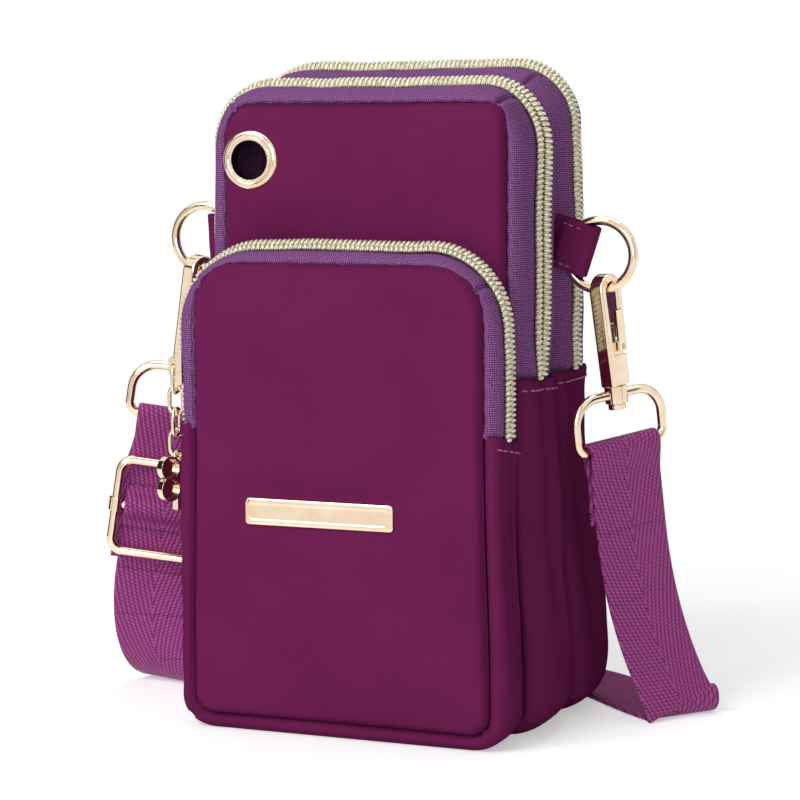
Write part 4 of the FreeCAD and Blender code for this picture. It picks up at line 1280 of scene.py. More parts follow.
@dataclass(frozen=True)
class Swelling:
    """A cloth simulation of a padded face: a sheet cut a little large, pinned at its seam, under pressure.

    Attributes:
        columns: points across the sheet.
        rows: points up it.
        surplus: how much larger than its seam it is cut, as a share.
        pressure: the pressure behind it.
        frames: how long it is simulated.
    """

    columns: int = 41
    rows: int = 61
    surplus: float = 0.02
    pressure: float = 4.0
    frames: int = 20

    def width(self, rim: Outline, z: Array) -> Array:
        """Half of the sheet's width at a level, which narrows at the rounded ends.

        Args:
            rim: the seam's outline.
            z: the levels.

        Returns:
            The widths.
        """
        bend = rim.high_round
        over = np.abs(z - (rim.base + rim.top) / 2) - (rim.top - rim.base) / 2 + bend
        return rim.half - bend + np.sqrt(np.maximum(bend ** 2 - np.maximum(over, 0) ** 2, 0))

    def simulate(self, rim: Outline) -> Array:
        """Runs the cloth on a lattice over the outline.

        Args:
            rim: the seam's outline.

        Returns:
            The distance moved outwards at each lattice point, scaled to at most 1.
        """
        across = np.linspace(-1, 1, self.columns)
        z = np.linspace(rim.base, rim.top, self.rows)[:, None]
        x, z = np.broadcast_arrays(across * self.width(rim, z), z)
        index = np.arange(x.size).reshape(x.shape)
        faces = np.stack([index[:-1, :-1], index[1:, :-1], index[1:, 1:], index[:-1, 1:]], -1).reshape(-1, 4)
        mesh = bpy.data.meshes.new("swelling_sheet")
        mesh.from_pydata((np.stack([x, 0 * x, z], -1).reshape(-1, 3) * MM).tolist(), [], faces.tolist())
        item = bpy.data.objects.new("swelling_sheet", mesh)
        scene = bpy.context.scene
        scene.collection.objects.link(item)
        inner = np.zeros(x.shape, bool)
        inner[1:-1, 1:-1] = True
        item.vertex_groups.new(name="seam").add(index[~inner].tolist(), 1.0, "REPLACE")
        settings = item.modifiers.new("swelling", "CLOTH").settings
        settings.vertex_group_mass = "seam"
        settings.use_pressure = True
        settings.uniform_pressure_force = self.pressure
        settings.shrink_min = -self.surplus
        settings.effector_weights.gravity = 0
        for number in range(1, self.frames + 1):
            scene.frame_set(number)
        shape = item.evaluated_get(bpy.context.evaluated_depsgraph_get()).to_mesh()
        moved = np.empty(3 * x.size, np.float32)
        shape.vertices.foreach_get("co", moved)
        bpy.data.objects.remove(item)
        bpy.data.meshes.remove(mesh)
        scene.frame_set(1)
        out = moved.reshape(*x.shape, 3)[..., 1]
        return out / out.max()

    def sample(self, rim: Outline, x: Array, z: Array) -> Array:
        """The simulated height at places on the face, between lattice points by cubic interpolation.

        Args:
            rim: the seam's outline.
            x: the places' X.
            z: their Z.

        Returns:
            Heights of at most about 1.
        """
        height = self.simulate(rim)
        column = (x / np.maximum(self.width(rim, z), 1e-6) + 1) / 2 * (self.columns - 1)
        row = (z - rim.base) / (rim.top - rim.base) * (self.rows - 1)

        def cubic(place: Array, count: int) -> tuple[Array, Array]:
            """The four neighbours of each place and their weights.

            Args:
                place: places counted in lattice points.
                count: the lattice's points that way.

            Returns:
                Their indices and weights.
            """
            place = np.clip(place, 0, count - 1)
            start = np.minimum(np.floor(place).astype(int), count - 2)
            t = place - start
            weights = [-t ** 3 + 2 * t ** 2 - t, 3 * t ** 3 - 5 * t ** 2 + 2,
                       -3 * t ** 3 + 4 * t ** 2 + t, t ** 3 - t ** 2]
            return np.clip(start + np.arange(-1, 3)[:, None, None], 0, count - 1), np.stack(weights) / 2

        (rows, row_shares), (columns, column_shares) = cubic(row, self.rows), cubic(column, self.columns)
        return np.einsum("aij,abij,bij->ij", row_shares, height[rows[:, None], columns[None]], column_shares)


@dataclass(frozen=True)
class Panel:
    """A padded face sewn into the seam round its compartment.

    Attributes:
        name: the node it stands for.
        home: the compartment whose seam it is sewn into.
        level: Y of the seam.
        facing: the way it faces along Y.
        seed: for its unevenness.
        plump: how far the edge rises from the seam.
        swell: how far the simulated middle swells on top of that.
        hollow: how far the cloth sinks above the pocket in front of it.
        hollow_level: the level where it sinks most.
        hole: X, Z and radius of the eyelet's hole.
        seat: a plate's corners that press the cloth flat.
        past: how far the cloth goes past the seam.
        edge_wide: how soon it rises to the plump.
        tuck: how far its edge is drawn in at the seam.
        tuck_wide: how soon that ends.
        swell_from: how soon the swelling begins.
        soft: height and wavelength of its waves.
        soft_from: how soon they begin.
        pucker: height of the puckers along the seam.
        pucker_pitch: from one pucker to the next.
        hollow_tall: how far up and down the hollow reaches.
        hollow_from: how soon it begins.
        seat_wide: how far round the plate the cloth is pressed.
        seat_rise: its height under the plate.
        hole_flat: where the flat round the hole starts to end and ends.
        hole_sunk: its depth there.
        swelling: the simulation.
    """

    name: str
    home: Compartment
    level: float
    facing: int
    seed: int
    plump: float = 0.7
    swell: float = 1.7
    hollow: float = 0.0
    hollow_level: float = 145.0
    hole: Optional[tuple[float, float, float]] = None
    seat: Optional[tuple[Array, Array]] = None
    past: float = 0.35
    edge_wide: float = 4.0
    tuck: float = 2.4
    tuck_wide: float = 1.2
    swell_from: float = 3.0
    soft: tuple[Pair, ...] = ((0.20, 55.0), (0.06, 17.0))
    soft_from: float = 9.0
    pucker: float = 0.16
    pucker_pitch: float = 5.4
    hollow_tall: float = 15.0
    hollow_from: float = 8.0
    seat_wide: float = 5.0
    seat_rise: float = 0.1
    hole_flat: Pair = (11.0, 22.0)
    hole_sunk: float = 0.05
    swelling: Swelling = Swelling()

    def height(self, rim: Outline, run: Array, spot: tuple[Array, Array], reach: Array) -> Array:
        """The cloth's height over the seam's plane: plump (1 - e^(-d/w)) - tuck e^(-(d/v)^2) and more.

        Here d is the distance from the seam. The simulated swelling, slight waves, puckers along the seam
        and the hollow above a pocket are added to it.

        Args:
            rim: the seam's outline.
            run: lengths along it.
            spot: X and Z of each point.
            reach: the points' distance from the seam.

        Returns:
            The height of each point.
        """
        x, z = spot
        rise = self.plump * (1 - np.exp(-reach / self.edge_wide)) - self.tuck * bell(reach, self.tuck_wide)
        if self.swell:
            rise += self.swell * self.swelling.sample(rim, x, z) * (1 - np.exp(-reach / self.swell_from))
        flat = np.stack([x, 0 * x + self.level, z], -1)
        waves = enumerate(self.soft, self.seed)
        soft = sum(height * uneven(flat, wave, seed) for seed, (height, wave) in waves)
        rise += soft * (1 - np.exp(-reach / self.soft_from))
        _, _, way_x, way_z = rim.at(run)
        corner = np.abs(way_x * way_z) * 2
        pucker = np.sin(TAU * run / self.pucker_pitch + 1.4 * np.sin(run / 7)) * (0.25 + 0.75 * corner)
        rise += self.pucker * pucker[None] * np.exp(-reach / 4.5) * (1 - np.exp(-reach / 0.7))
        sway = z - self.hollow_level - 3 * np.sin(x / 11 + 1.2)
        sunk = self.hollow * bell(sway, self.hollow_tall) * (1 - np.exp(-reach / self.hollow_from))
        return rise - sunk * (0.75 + 0.25 * np.cos(x / 17 + 0.6))

    def build(self) -> None:
        """Rings of cloth from the seam inward, closer near it, pressed flat by a plate or an eyelet."""
        around, rings, closing = 421, 76, 2.1
        rim = self.home.seam.inset(-self.past)
        run = np.linspace(0, rim.length, around)[:-1]
        x, z, _, _ = rim.at(run)
        middle = (rim.base + rim.top) / 2
        core_z = np.clip(z, min(rim.base + rim.half, middle), max(rim.top - rim.half, middle))
        inward = np.linspace(0, 1, rings)[:, None] ** closing
        px, pz = x * (1 - inward), z + (core_z - z) * inward
        reach = np.hypot(x, z - core_z) * inward
        rise = self.height(rim, run, (px, pz), reach)
        if self.seat is not None:
            low, high = self.seat
            gap_x = np.maximum(np.maximum(low[0] - px, px - high[0]), 0)
            gap_z = np.maximum(np.maximum(low[2] - pz, pz - high[2]), 0)
            press = bell(np.hypot(gap_x, gap_z), self.seat_wide)
            rise = rise * (1 - press) + self.seat_rise * press
        px = px + self.home.nipped(px, pz)
        px = px + self.home.flared(px, pz)
        if self.hole:
            press = 1 - ease(*self.hole_flat, np.hypot(px - self.hole[0], pz - self.hole[1]))
            rise = rise * (1 - press) - (self.hole_sunk + self.tuck * bell(reach, self.tuck_wide)) * press
        points = np.stack([px, self.level + self.facing * rise, pz], -1)
        cloth = np.concatenate([points, points[:, :1]], 1)[..., [0, 2]]
        keep = None
        if self.hole:
            hole_x, hole_z, radius = self.hole
            far = np.hypot(px - hole_x, pz - hole_z) > radius
            far = np.concatenate([far, far[:, :1]], 1)
            keep = far[:-1, :-1] & far[1:, :-1] & far[1:, 1:] & far[:-1, 1:]
        stock = Stock().grid(points, cloth, (False, True), flip=self.facing > 0, keep=keep)
        piece = stock.make(f"{self.name}_cloth", NYLON, wall=0.8, weld=True)
        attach(piece, "pouch")
        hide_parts(self.name)


@dataclass(frozen=True)
class Badge:
    """The plain bar badge: a bevelled plate with a shallow sunk field."""

    outline: Outline
    level: float
    thick: float

    @classmethod
    def of(cls) -> "Badge":
        """Reads the badge's sizes from the frame.

        Returns:
            The badge.
        """
        low, high = corners("badge_plate")
        half, middle, corner = (high[0] - low[0]) / 2, (high[0] + low[0]) / 2, 1.2
        outline = Outline(half, low[2], high[2], corner, corner, middle)
        return cls(outline, high[1], high[1] - low[1])

    def build(self) -> None:
        """Rings of the outline, drawn in and moved out step by step to the middle."""
        rim, sunk = self.outline, 0.3
        run = np.linspace(0, rim.length, 241)[:-1]
        x, z, _, _ = rim.at(run)
        tall = (rim.top - rim.base) / 2
        core_x = np.clip(x, rim.middle - rim.half + tall, rim.middle + rim.half - tall)
        core_z = (rim.top + rim.base) / 2
        inward = np.array([0, 0, 0, 0.07, 0.15, 0.24, 0.36, 0.40, 0.44, 0.50, 0.7, 1.0])[:, None]
        out = np.array([0, 0.45, 0.78, 0.90, 0.97, 1.0, 1.0, 0.99, 0.92, 0.90, 0.90, 0.90])[:, None]
        px, pz = x + (core_x - x) * inward, z + (core_z - z) * inward
        points = np.stack([px, self.level + sunk - (self.thick + sunk) * out + 0 * px, pz], -1)
        cloth = np.concatenate([points, points[:, :1]], 1)[..., [0, 2]]
        piece = Stock().grid(points, cloth, (False, True)).make("badge_bar", GOLD, weld=True)
        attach(piece, "pouch")
        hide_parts("badge_plate")


@dataclass(frozen=True)
class SideTab:
    """A cloth tab folded round its ring, sewn along both edges.

    Attributes:
        side: which end of the strap it holds.
        seam_y: Y of the seam that it is sewn into.
        crest: how far from the middle its root is.
        reach: how far it stands out.
        droop: how far it hangs down, in degrees.
        level: its root's level.
        tall: its width.
        layer: its thickness.
        eye: radius of the eye for the ring.
        root: how far it runs on into the seam.
        shut: half of the gap between the layers at the root.
        opening: where the layers start to part and are apart, from the root.
        soft: height and wavelength of its unevenness.
        hem: from its edges to the thread.
        sewn: the path's points between which it is sewn.
        stitching: the thread.
    """

    side: Side
    seam_y: float
    crest: float
    reach: float
    droop: float
    level: float = 141.5
    tall: float = 15.0
    layer: float = 0.9
    eye: float = 2.0
    root: float = 3.0
    shut: float = 0.5
    opening: Pair = (-1.8, 1.6)
    soft: Pair = (0.10, 9.0)
    hem: float = 1.7
    sewn: tuple[int, int] = (6, 24)
    stitching: Stitching = Stitching(2.4, 1.7, 0.2)

    def build(self) -> None:
        """The fold's path is two layers that open from the root and meet round the ring's wire."""
        angle = np.radians(self.droop)
        out = np.array([self.side.value * np.cos(angle), 0, -np.sin(angle)])
        up = np.array([self.side.value * np.sin(angle), 0, np.cos(angle)])
        aft = np.array([0.0, 1.0, 0.0])
        bend = self.eye + self.layer / 2
        straight = self.reach - self.eye - self.layer
        u = np.linspace(-self.root, straight, 26)
        y = -(self.shut + (bend - self.shut) * ease(*self.opening, u))
        turn = np.linspace(-np.pi / 2, np.pi / 2, 15)[1:-1]
        u = np.concatenate([u, straight + bend * np.cos(turn), u[::-1]])
        y = np.concatenate([y, bend * np.sin(turn), -y[::-1]])
        root = np.array([self.side.value * self.crest, self.seam_y, self.level])
        path = root + u[:, None] * out + y[:, None] * aft
        points, cloth = ribbon(path, np.broadcast_to(up, path.shape), self.tall, self.layer)
        height, wave = self.soft
        points = points + height * uneven(points, wave, 31 + self.side.value)[..., None] * aft
        name = self.side.word
        stock = Stock().grid(points, cloth, (False, True), caps=True)
        piece = stock.make(f"side_tab_{name}_cloth", NYLON)
        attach(piece, "pouch")
        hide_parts(f"side_tab_{name}")
        thread = Stock()
        start, end = self.sewn
        for edge in (-1, 1):
            for facing, part in ((-1, slice(start, end)), (1, slice(-end, -start))):
                line = path[part] + up * edge * (self.tall / 2 - self.hem) + aft * facing * self.layer * 0.5
                outward = np.broadcast_to(aft * facing, line.shape)
                self.stitching.sew(thread, line, outward, 60 + edge + facing)
        sewn = thread.make(f"side_tab_{name}_stitches", THREAD)
        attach(sewn, "pouch")


# ---------------------------------------------------------------- the strap


@dataclass(frozen=True)
class StrapEnd:
    """One end of the strap, from its bow down to the floor.

    Attributes:
        side: which end.
        turn: how far its bow is turned about the vertical, in degrees.
        fore: length of the loop's front layer below the bow's bar.
        aft: length of the layer behind it.
        lean: how far the layer behind strays across.
        foot: X and Y where it meets the floor.
        way: X and Y of its direction from there.
        pull: how long the drop keeps its direction at the top and at the foot.
        untwist: the power by which its width turns from the bow's to the floor's.
        steps: points of the drop.
    """

    side: Side
    turn: float
    fore: float
    aft: float
    lean: float
    foot: Pair
    way: Pair
    pull: Pair
    untwist: int
    steps: int


@dataclass(frozen=True)
class Strap:
    """The shoulder strap: a loop on each bow, two drops to the floor and the put-away hank between them.

    Attributes:
        width: the webbing's width.
        thick: its thickness.
        bend: radius of its turn round a bow's bar.
        taper: the length in which a loop's layers part below the bar.
        layers: the hank's layers.
        pitch: from one layer to the next.
        hank_y: the hank's place behind the pouch.
        hank_ends: X of its turns.
        entry: X where the right run enters it.
        exit: X where the left run leaves it.
        slack: between two layers of a loop, halved.
        clear: between the webbing and the floor.
        bow_drop: from a bow's swivel to its bar.
        adjuster_drop: from the left bow's bar to the adjuster's.
        sweep: how long the runs on the floor keep their direction at their ends.
        lean_span: where a loop's hind layer starts to stray and has strayed, from the bar.
        settle: how far over the floor a drop's last piece stops moving; not used.
        stray: how far the hank's layers stray.
        ends: the right and the left end.
    """

    width: float = 25.0
    thick: float = 1.3
    bend: float = 2.35
    taper: float = 10.0
    layers: int = 9
    pitch: float = 1.9
    hank_y: float = 64.0
    hank_ends: Pair = (-43.05, 39.05)
    entry: float = 20.0
    exit: float = -42.0
    slack: float = 0.02
    clear: float = 0.002
    bow_drop: float = 18.3
    adjuster_drop: float = 29.0
    sweep: float = 28.0
    lean_span: Pair = (-6.0, -24.0)
    settle: float = 3.0
    stray: float = 0.35
    ends: tuple[StrapEnd, StrapEnd] = (
        StrapEnd(Side.RIGHT, turn=53.0, fore=24.0, aft=22.0, lean=0.9, foot=(82.59, 24.41),
                 way=(-0.7986, 0.6018), pull=(44.0, 13.0), untwist=4, steps=61),
        StrapEnd(Side.LEFT, turn=25.0, fore=49.0, aft=46.0, lean=2.3, foot=(-76.0, 15.0),
                 way=(0.3584, 0.9336), pull=(18.0, 13.0), untwist=1, steps=46))

    @property
    def half(self) -> float:
        """From the middle between two layers to the middle of one."""
        return self.thick / 2 + self.slack

    @property
    def floor(self) -> float:
        """The level of webbing that lies on the floor."""
        return self.thick / 2 + self.clear

    def piece(self, name: str, path: Array, across: Array, held: str, rests: Sequence[str],
              start: float = 0.0, floor: bool = False) -> bpy.types.Object:
        """Args:
            name: the piece's name.
            path: its middle line.
            across: the direction of its width at each point.
            held: how it is held; not used.
            rests: what it hangs from or lies on; not used.
            start: the cloth coordinate of its start.
            floor: whether it is kept above the floor.

        Returns:
            The object, which rides on nothing yet.
        """
        points, cloth = ribbon(path, across, self.width, self.thick, start, floor)
        piece = Stock().grid(points, cloth, (False, True), caps=True).make(name, WEBBING)
        return piece

    def bow(self, end: StrapEnd) -> tuple[Array, Array]:
        """The middle of a bow's bar, and the bow's directions across, aft and up as rows.

        Args:
            end: the strap's end that hangs from it.

        Returns:
            The bar's middle and the directions.
        """
        swivel = next(item for item in frame["joints"] if item["name"] == f"bow_{end.side.word}_swivel")
        up = unit(np.array(swivel["axis"]))
        level = np.array([np.cos(np.radians(end.turn)), np.sin(np.radians(end.turn)), 0])
        aside = unit(level - (level @ up) * up)
        return np.array(swivel["pos_m"]) / MM - self.bow_drop * up, np.stack([aside, np.cross(up, aside), up])

    def loop(self, end: StrapEnd) -> None:
        """The webbing's loop: two layers that part below the bow's bar and go round it.

        Args:
            end: which end of the strap.
        """
        side = end.side
        bar, axes = self.bow(end)
        up, down = np.linspace(-end.aft, 0, 22), np.linspace(0, -end.fore, 26)
        turn = np.linspace(0, np.pi, 19)[1:-1]
        z = np.concatenate([up, self.bend * np.sin(turn), down])
        part = self.half + (self.bend - self.half) * ease(-self.taper, 0.5, z)
        y = np.concatenate([part[:len(up)], self.bend * np.cos(turn), -part[-len(down):]])
        path = bar + y[:, None] * axes[1] + z[:, None] * axes[2]
        lean = end.lean * ease(*self.lean_span, z) * (y > 0)
        path = path - lean[:, None] * axes[0]
        name = f"strap_{side.word}_loop"
        piece = self.piece(f"{name}_web", path, np.broadcast_to(axes[0], path.shape), "folded",
                           [f"bow_{side.word}"], start=-along(path)[-1])
        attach(piece, f"bow_{side.word}")
        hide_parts(name)

    def drop(self, end: StrapEnd) -> None:
        """The length from the loop's end to the floor, in three pieces.

        Args:
            end: which end of the strap.
        """
        bar, axes = self.bow(end)
        word, (high_pull, low_pull) = end.side.word, end.pull
        top = bar - end.fore * axes[2]
        foot, way = np.array([*end.foot, self.floor]), np.array([*end.way, 0])
        path = bezier(top, top - high_pull * axes[2], foot - low_pull * way, foot, end.steps)
        left = 1 - np.linspace(0, 1, end.steps)[:, None]
        path = path - self.half * left ** 2 * axes[1]
        share = left ** end.untwist
        across = share * axes[0] + (1 - share) * np.array([way[1], -way[0], 0])
        run = along(path)
        cuts = [int(np.argmin(np.abs(run - run[-1] * third / 3))) for third in range(4)]
        points, cloth = ribbon(path, across, self.width, self.thick, 0.0, True)
        for number, (start, last) in enumerate(zip(cuts, cuts[1:])):
            part = slice(start, last + 1)
            stock = Stock().grid(points[part], cloth[part], (False, True), caps=True)
            piece = stock.make(f"strap_{word}_drop_{number + 1}", WEBBING)
            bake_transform(piece)
            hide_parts(f"strap_{word}_drop")

    def hank(self) -> None:
        """The put-away length, folded to and fro on the floor behind the pouch."""
        low, high = self.hank_ends
        x, z = [], []
        turn = np.linspace(-np.pi / 2, np.pi / 2, 9)[1:-1]
        for layer in range(self.layers):
            start = self.entry if layer == 0 else (low if layer % 2 else high)
            end = self.exit if layer == self.layers - 1 else (high if layer % 2 else low)
            run = np.linspace(start, end, 26)
            rise = self.floor + self.pitch * layer
            x.append(run)
            z.append(0 * run + rise)
            if layer < self.layers - 1:
                sign = 1 if layer % 2 else -1
                x.append(end + sign * self.pitch / 2 * np.cos(turn))
                z.append(rise + self.pitch / 2 * (1 + np.sin(turn)))
        x, z = np.concatenate(x), np.concatenate(z)
        y = self.hank_y + self.stray * np.sin(x / 31 + z * 1.7)
        path = np.stack([x, y, z], 1)
        across = np.broadcast_to([0.0, 1.0, 0.0], path.shape)
        piece = self.piece("strap_hank_web", path, across, "folded", ["strap_right_run_web"], floor=True)
        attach(piece, "pouch")
        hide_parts("strap_hank")

    def run(self, side: Side, path: Array) -> None:
        """A length that lies along the floor, its width level.

        Args:
            side: which end of the strap.
            path: the middle line.
        """
        way = np.gradient(path, axis=0)
        across = np.stack([way[:, 1], -way[:, 0], 0 * way[:, 0]], 1)
        piece = self.piece(f"strap_{side.word}_run_web", path, across, "laid",
                           [f"strap_{side.word}_drop_3"], floor=True)
        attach(piece, "pouch")
        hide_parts(f"strap_{side.word}_run")

    def bar_turn(self, end: StrapEnd) -> None:
        """The webbing's rise over the adjuster's cross bar: y = -base - height e^(-(|z|/w)^p).

        Args:
            end: the strap's end that the adjuster is on.
        """
        bar, axes = self.bow(end)
        centre = bar - self.adjuster_drop * axes[2]
        reach, base, height, wide, power = 6.4, 1.45 * self.thick, 3.35, 3.1, 3.2
        z = np.linspace(reach, -reach, 41)
        y = -base - height * np.exp(-(np.abs(z) / wide) ** power)
        path = centre + y[:, None] * axes[1] + z[:, None] * axes[2]
        piece = self.piece("strap_bar_turn_web", path, np.broadcast_to(axes[0], path.shape), "stretched",
                           ["adjuster_bar"], start=20.0)
        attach(piece, "adjuster")
        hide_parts("strap_bar_turn")

    def build(self) -> None:
        """Lays the whole strap out from the right bow to the left one."""
        right, left = self.ends
        sweep = np.array([self.sweep, 0, 0])

        def foot(end: StrapEnd) -> tuple[Array, Array]:
            """Where an end meets the floor, and the handle of its run there."""
            start = np.array([*end.foot, self.floor])
            return start, start + self.sweep * np.array([*end.way, 0])

        entry = np.array([self.entry, self.hank_y, self.floor])
        last = np.array([self.exit, self.hank_y, self.floor + self.pitch * (self.layers - 1)])
        self.loop(right)
        self.drop(right)
        self.run(right.side, bezier(*foot(right), entry + sweep, entry, 41))
        self.hank()
        self.run(left.side, bezier(last, last - sweep, *foot(left)[::-1], 41))
        self.loop(left)
        self.drop(left)
        self.bar_turn(left)


# ---------------------------------------------------------------- hardware and studio


@dataclass(frozen=True)
class Hardware:
    """The metal parts, which keep their CAD shape and get their plating."""

    sprung: tuple[str, ...] = ("gate_pin", "gate_spring")

    def build(self) -> None:
        """Gives every shown CAD node its finish."""
        for name, node in frame["nodes"].items():
            if node.hide_render:
                continue
            finish = STEEL if name.startswith(self.sprung) else GOLD
            node.data.materials.clear()
            node.data.materials.append(finish.material())
            LOG.info("%s: %s", name, finish.name)


@dataclass(frozen=True)
class Facing:
    """Something in the studio that faces the pouch."""

    name: str
    place: tuple[float, float, float]
    aim: float

    def axes(self) -> tuple[Array, Array, Array]:
        """Its directions to the right, up and away from the pouch.

        Returns:
            The three directions.
        """
        back = unit(np.array(self.place) - np.array([0, 0, self.aim]))
        right = unit(np.cross([0, 0, 1.0], back))
        return right, np.cross(back, right), back


@dataclass(frozen=True)
class Lamp(Facing):
    """A square soft lamp."""

    size: float
    power: float

    def build(self) -> None:
        """Adds the lamp."""
        data = bpy.data.lights.new(self.name, "AREA")
        data.size, data.energy = self.size, self.power
        item = bpy.data.objects.new(self.name, data)
        turn = Matrix(np.stack(self.axes(), 1).tolist()).to_4x4()
        item.matrix_world = Matrix.Translation(self.place) @ turn
        bpy.context.scene.collection.objects.link(item)


@dataclass(frozen=True)
class Card(Facing):
    """A dark card, seen only in reflections."""

    wide: float
    tall: float
    black: Colour = (0.012, 0.009, 0.008)

    def build(self) -> None:
        """Adds the card."""
        right, up, _ = self.axes()
        place, aside, rise = np.array(self.place), right * self.wide / 2, up * self.tall / 2
        spots = [place + a * aside + b * rise for a, b in ((-1, -1), (1, -1), (1, 1), (-1, 1))]
        mesh = bpy.data.meshes.new(self.name)
        mesh.from_pydata([spot.tolist() for spot in spots], [], [(0, 1, 2, 3)])
        graph = Graph(f"{self.name}_black", Roughness=0.9, Base_Color=(*self.black, 1))
        mesh.materials.append(graph.material)
        item = bpy.data.objects.new(self.name, mesh)
        bpy.context.scene.collection.objects.link(item)
        for ray in ("visible_camera", "visible_diffuse", "visible_shadow", "visible_transmission"):
            setattr(item, ray, False)
        item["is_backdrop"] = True


@dataclass(frozen=True)
class Studio:
    """A pale floor, a white surround, soft lamps, dark cards for the metal to reflect, and the camera.

    Attributes:
        eye: the camera's place, in metres.
        yaw: its turn about the vertical, in degrees.
        pitch: how far it looks down.
        roll: its turn about its own axis.
        lens: its focal length for a sensor 36 mm wide.
        surround: the light that the white surround gives.
        floor_glow: how much the floor is lightened for the camera.
        shade: where the floor starts to turn white and is white, in metres from the middle.
        floor_wide: half of the floor's width.
        pale: the floor's colour.
        lamps: the lamps, each with its place, the height it is aimed at, its size and its power.
        cards: the cards, each with its place, the height it faces, its width and its height.
    """

    eye: tuple[float, float, float] = (0.28485, -0.69119, 0.18052)
    yaw: float = 22.07
    pitch: float = 6.60
    roll: float = -0.38
    lens: float = 113.78
    surround: float = 0.22
    floor_glow: float = 0.42
    shade: Pair = (0.10, 0.34)
    floor_wide: float = 30.0
    pale: Colour = (0.96, 0.96, 0.962)
    lamps: tuple[Lamp, ...] = (
        Lamp("key_lamp", (-0.45, -1.00, 1.05), 0.09, 0.7, 11.5),
        Lamp("fill_lamp", (0.40, -1.30, 0.40), 0.09, 0.6, 4.0),
        Lamp("top_lamp", (0.0, 0.20, 1.25), 0.09, 0.9, 3.6))
    cards: tuple[Card, ...] = (
        Card("left_card", (-0.75, -0.15, 0.25), 0.1, 0.5, 0.7),
        Card("right_card", (0.85, -0.1, 0.20), 0.1, 0.20, 0.8),
        Card("front_card", (0.05, -1.2, 0.12), 0.1, 0.20, 0.35),
        Card("back_card", (-0.25, 0.80, 0.28), 0.1, 1.5, 0.55),
        Card("fore_left_card", (-0.62, -0.95, 0.25), 0.1, 0.16, 0.9),
        Card("fore_right_card", (0.95, -0.75, 0.20), 0.1, 0.16, 0.9),
        Card("high_card", (0.0, -0.70, 0.85), 0.1, 1.0, 0.14))

    def camera(self) -> None:
        """The photograph's camera."""
        data = bpy.data.cameras.new("camera")
        data.sensor_width, data.lens = 36.0, self.lens
        yaw, pitch = np.radians(self.yaw), np.radians(self.pitch)
        right = np.array([np.cos(yaw), np.sin(yaw), 0])
        ahead = np.array([-np.sin(yaw) * np.cos(pitch), np.cos(yaw) * np.cos(pitch), -np.sin(pitch)])
        turn = Matrix(np.stack([right, np.cross(right, ahead), -ahead], 1).tolist()).to_4x4()
        turn = turn @ Matrix.Rotation(np.radians(self.roll), 4, "Z")
        item = bpy.data.objects.new("camera", data)
        item.matrix_world = Matrix.Translation(self.eye) @ turn
        bpy.context.scene.collection.objects.link(item)
        bpy.context.scene.camera = item

    def world(self) -> None:
        """White where the camera or a reflection looks, a soft grey light elsewhere."""
        world = bpy.data.worlds.new("surround")
        world.use_nodes = True
        nodes, links = world.node_tree.nodes, world.node_tree.links
        path = nodes.new("ShaderNodeLightPath")
        seen = path.outputs["Is Camera Ray"]
        for ray in ("Is Glossy Ray", "Is Transmission Ray"):
            either = nodes.new("ShaderNodeMath")
            either.operation, either.use_clamp = "ADD", True
            links.new(seen, either.inputs[0])
            links.new(path.outputs[ray], either.inputs[1])
            seen = either.outputs[0]
        level = nodes.new("ShaderNodeMapRange")
        level.inputs["To Min"].default_value = self.surround
        level.inputs["To Max"].default_value = 1.0
        links.new(seen, level.inputs["Value"])
        nodes["Background"].inputs["Color"].default_value = (1, 1, 1, 1)
        links.new(level.outputs[0], nodes["Background"].inputs["Strength"])
        bpy.context.scene.world = world

    def floor(self) -> None:
        """A pale floor that keeps the shadow near the object and turns plain white further out."""
        mesh = bpy.data.meshes.new("floor")
        wide = self.floor_wide
        spots = [(-wide, -wide, 0), (wide, -wide, 0), (wide, wide, 0), (-wide, wide, 0)]
        mesh.from_pydata(spots, [], [(0, 1, 2, 3)])
        item = bpy.data.objects.new("floor", mesh)
        bpy.context.scene.collection.objects.link(item)
        graph = Graph("pale_floor", Roughness=0.5, Base_Color=(*self.pale, 1), Specular_IOR_Level=0.2)
        place = graph.place()
        far = graph.add("ShaderNodeVectorMath", {0: place}, operation="LENGTH").outputs["Value"]
        span = {"Value": far, "From Min": self.shade[0], "From Max": self.shade[1]}
        fade = graph.add("ShaderNodeMapRange", span, interpolation_type="SMOOTHSTEP").outputs[0]
        path = graph.add("ShaderNodeLightPath", {})
        either = graph.math("ADD", path.outputs["Is Camera Ray"], path.outputs["Is Glossy Ray"])
        seen = graph.math("MINIMUM", either, 1.0)
        lightened = graph.math("MULTIPLY", seen, self.floor_glow)
        graph.feed(Emission_Color=(1, 1, 1, 1), Emission_Strength=lightened)
        glow = graph.add("ShaderNodeEmission", {"Color": (1, 1, 1, 1), "Strength": 1.0})
        share = graph.math("MULTIPLY", fade, seen)
        both = graph.add("ShaderNodeMixShader", {0: share, 1: graph.shader.outputs[0], 2: glow.outputs[0]})
        graph.put(graph.end, "Surface", both.outputs[0])
        mesh.materials.append(graph.material)
        item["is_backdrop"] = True

    def build(self) -> None:
        """Sets the whole studio up."""
        self.camera()
        self.world()
        self.floor()
        for item in self.lamps + self.cards:
            item.build()
        bpy.context.scene.view_settings.view_transform = "Standard"


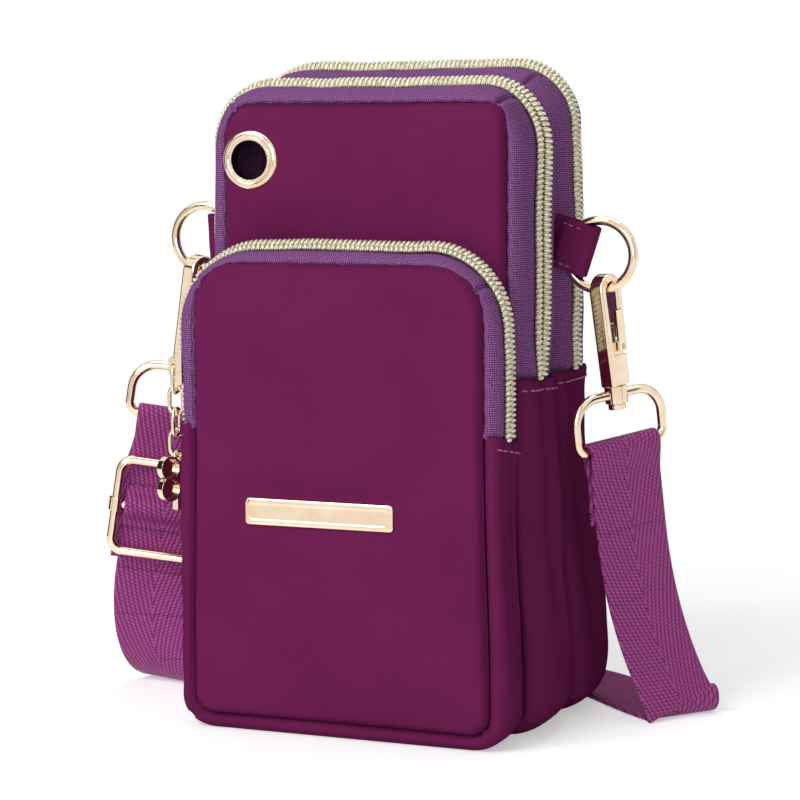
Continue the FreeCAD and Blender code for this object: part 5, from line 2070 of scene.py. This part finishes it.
def main() -> None:
    """Builds the studio, the pouch, its strap and its metal parts."""
    logging.basicConfig(level=logging.INFO)
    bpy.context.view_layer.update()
    Studio().build()
    Strap().build()
    front = Compartment.of("front", 24.0, 13.0, 3, flare=2.0, hem_fall=3.4, crease=36.0, nip=1.2)
    middle = Compartment.of("middle", 18.5, 4.0, 11, flare=5.0, hem_fall=2.0, tilt=26.0, crease=52.0,
                            left_round=9.5, nip=3.5, shoulder=6.6)
    back = Compartment.of("back", 18.5, 11.0, 19, flare=7.0, left_round=11.0, shoulder=7.0)
    for compartment in (front, middle, back):
        compartment.gusset()
        compartment.tapes()
        compartment.coil()
        compartment.lining()
    low, high = corners("eyelet_barrel")
    hole = ((low[0] + high[0]) / 2, (low[2] + high[2]) / 2, EYELET_HOLE)
    Panel("front_panel", front, front.front, -1, 5, seat=corners("badge_plate")).build()
    Panel("middle_panel", middle, middle.front, -1, 6, hollow=3.4, hole=hole).build()
    Panel("divider_panel", back, back.front, -1, 7, plump=0.3, swell=0.0).build()
    Panel("back_panel", back, back.back, 1, 8, swell=1.6).build()
    Badge.of().build()
    SideTab(Side.RIGHT, back.front, back.outline.half, reach=10.8, droop=18.0).build()
    SideTab(Side.LEFT, back.front, back.outline.half, reach=11.0, droop=3.0).build()
    Hardware().build()
    low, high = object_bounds()


if __name__ == "__main__":
    main()
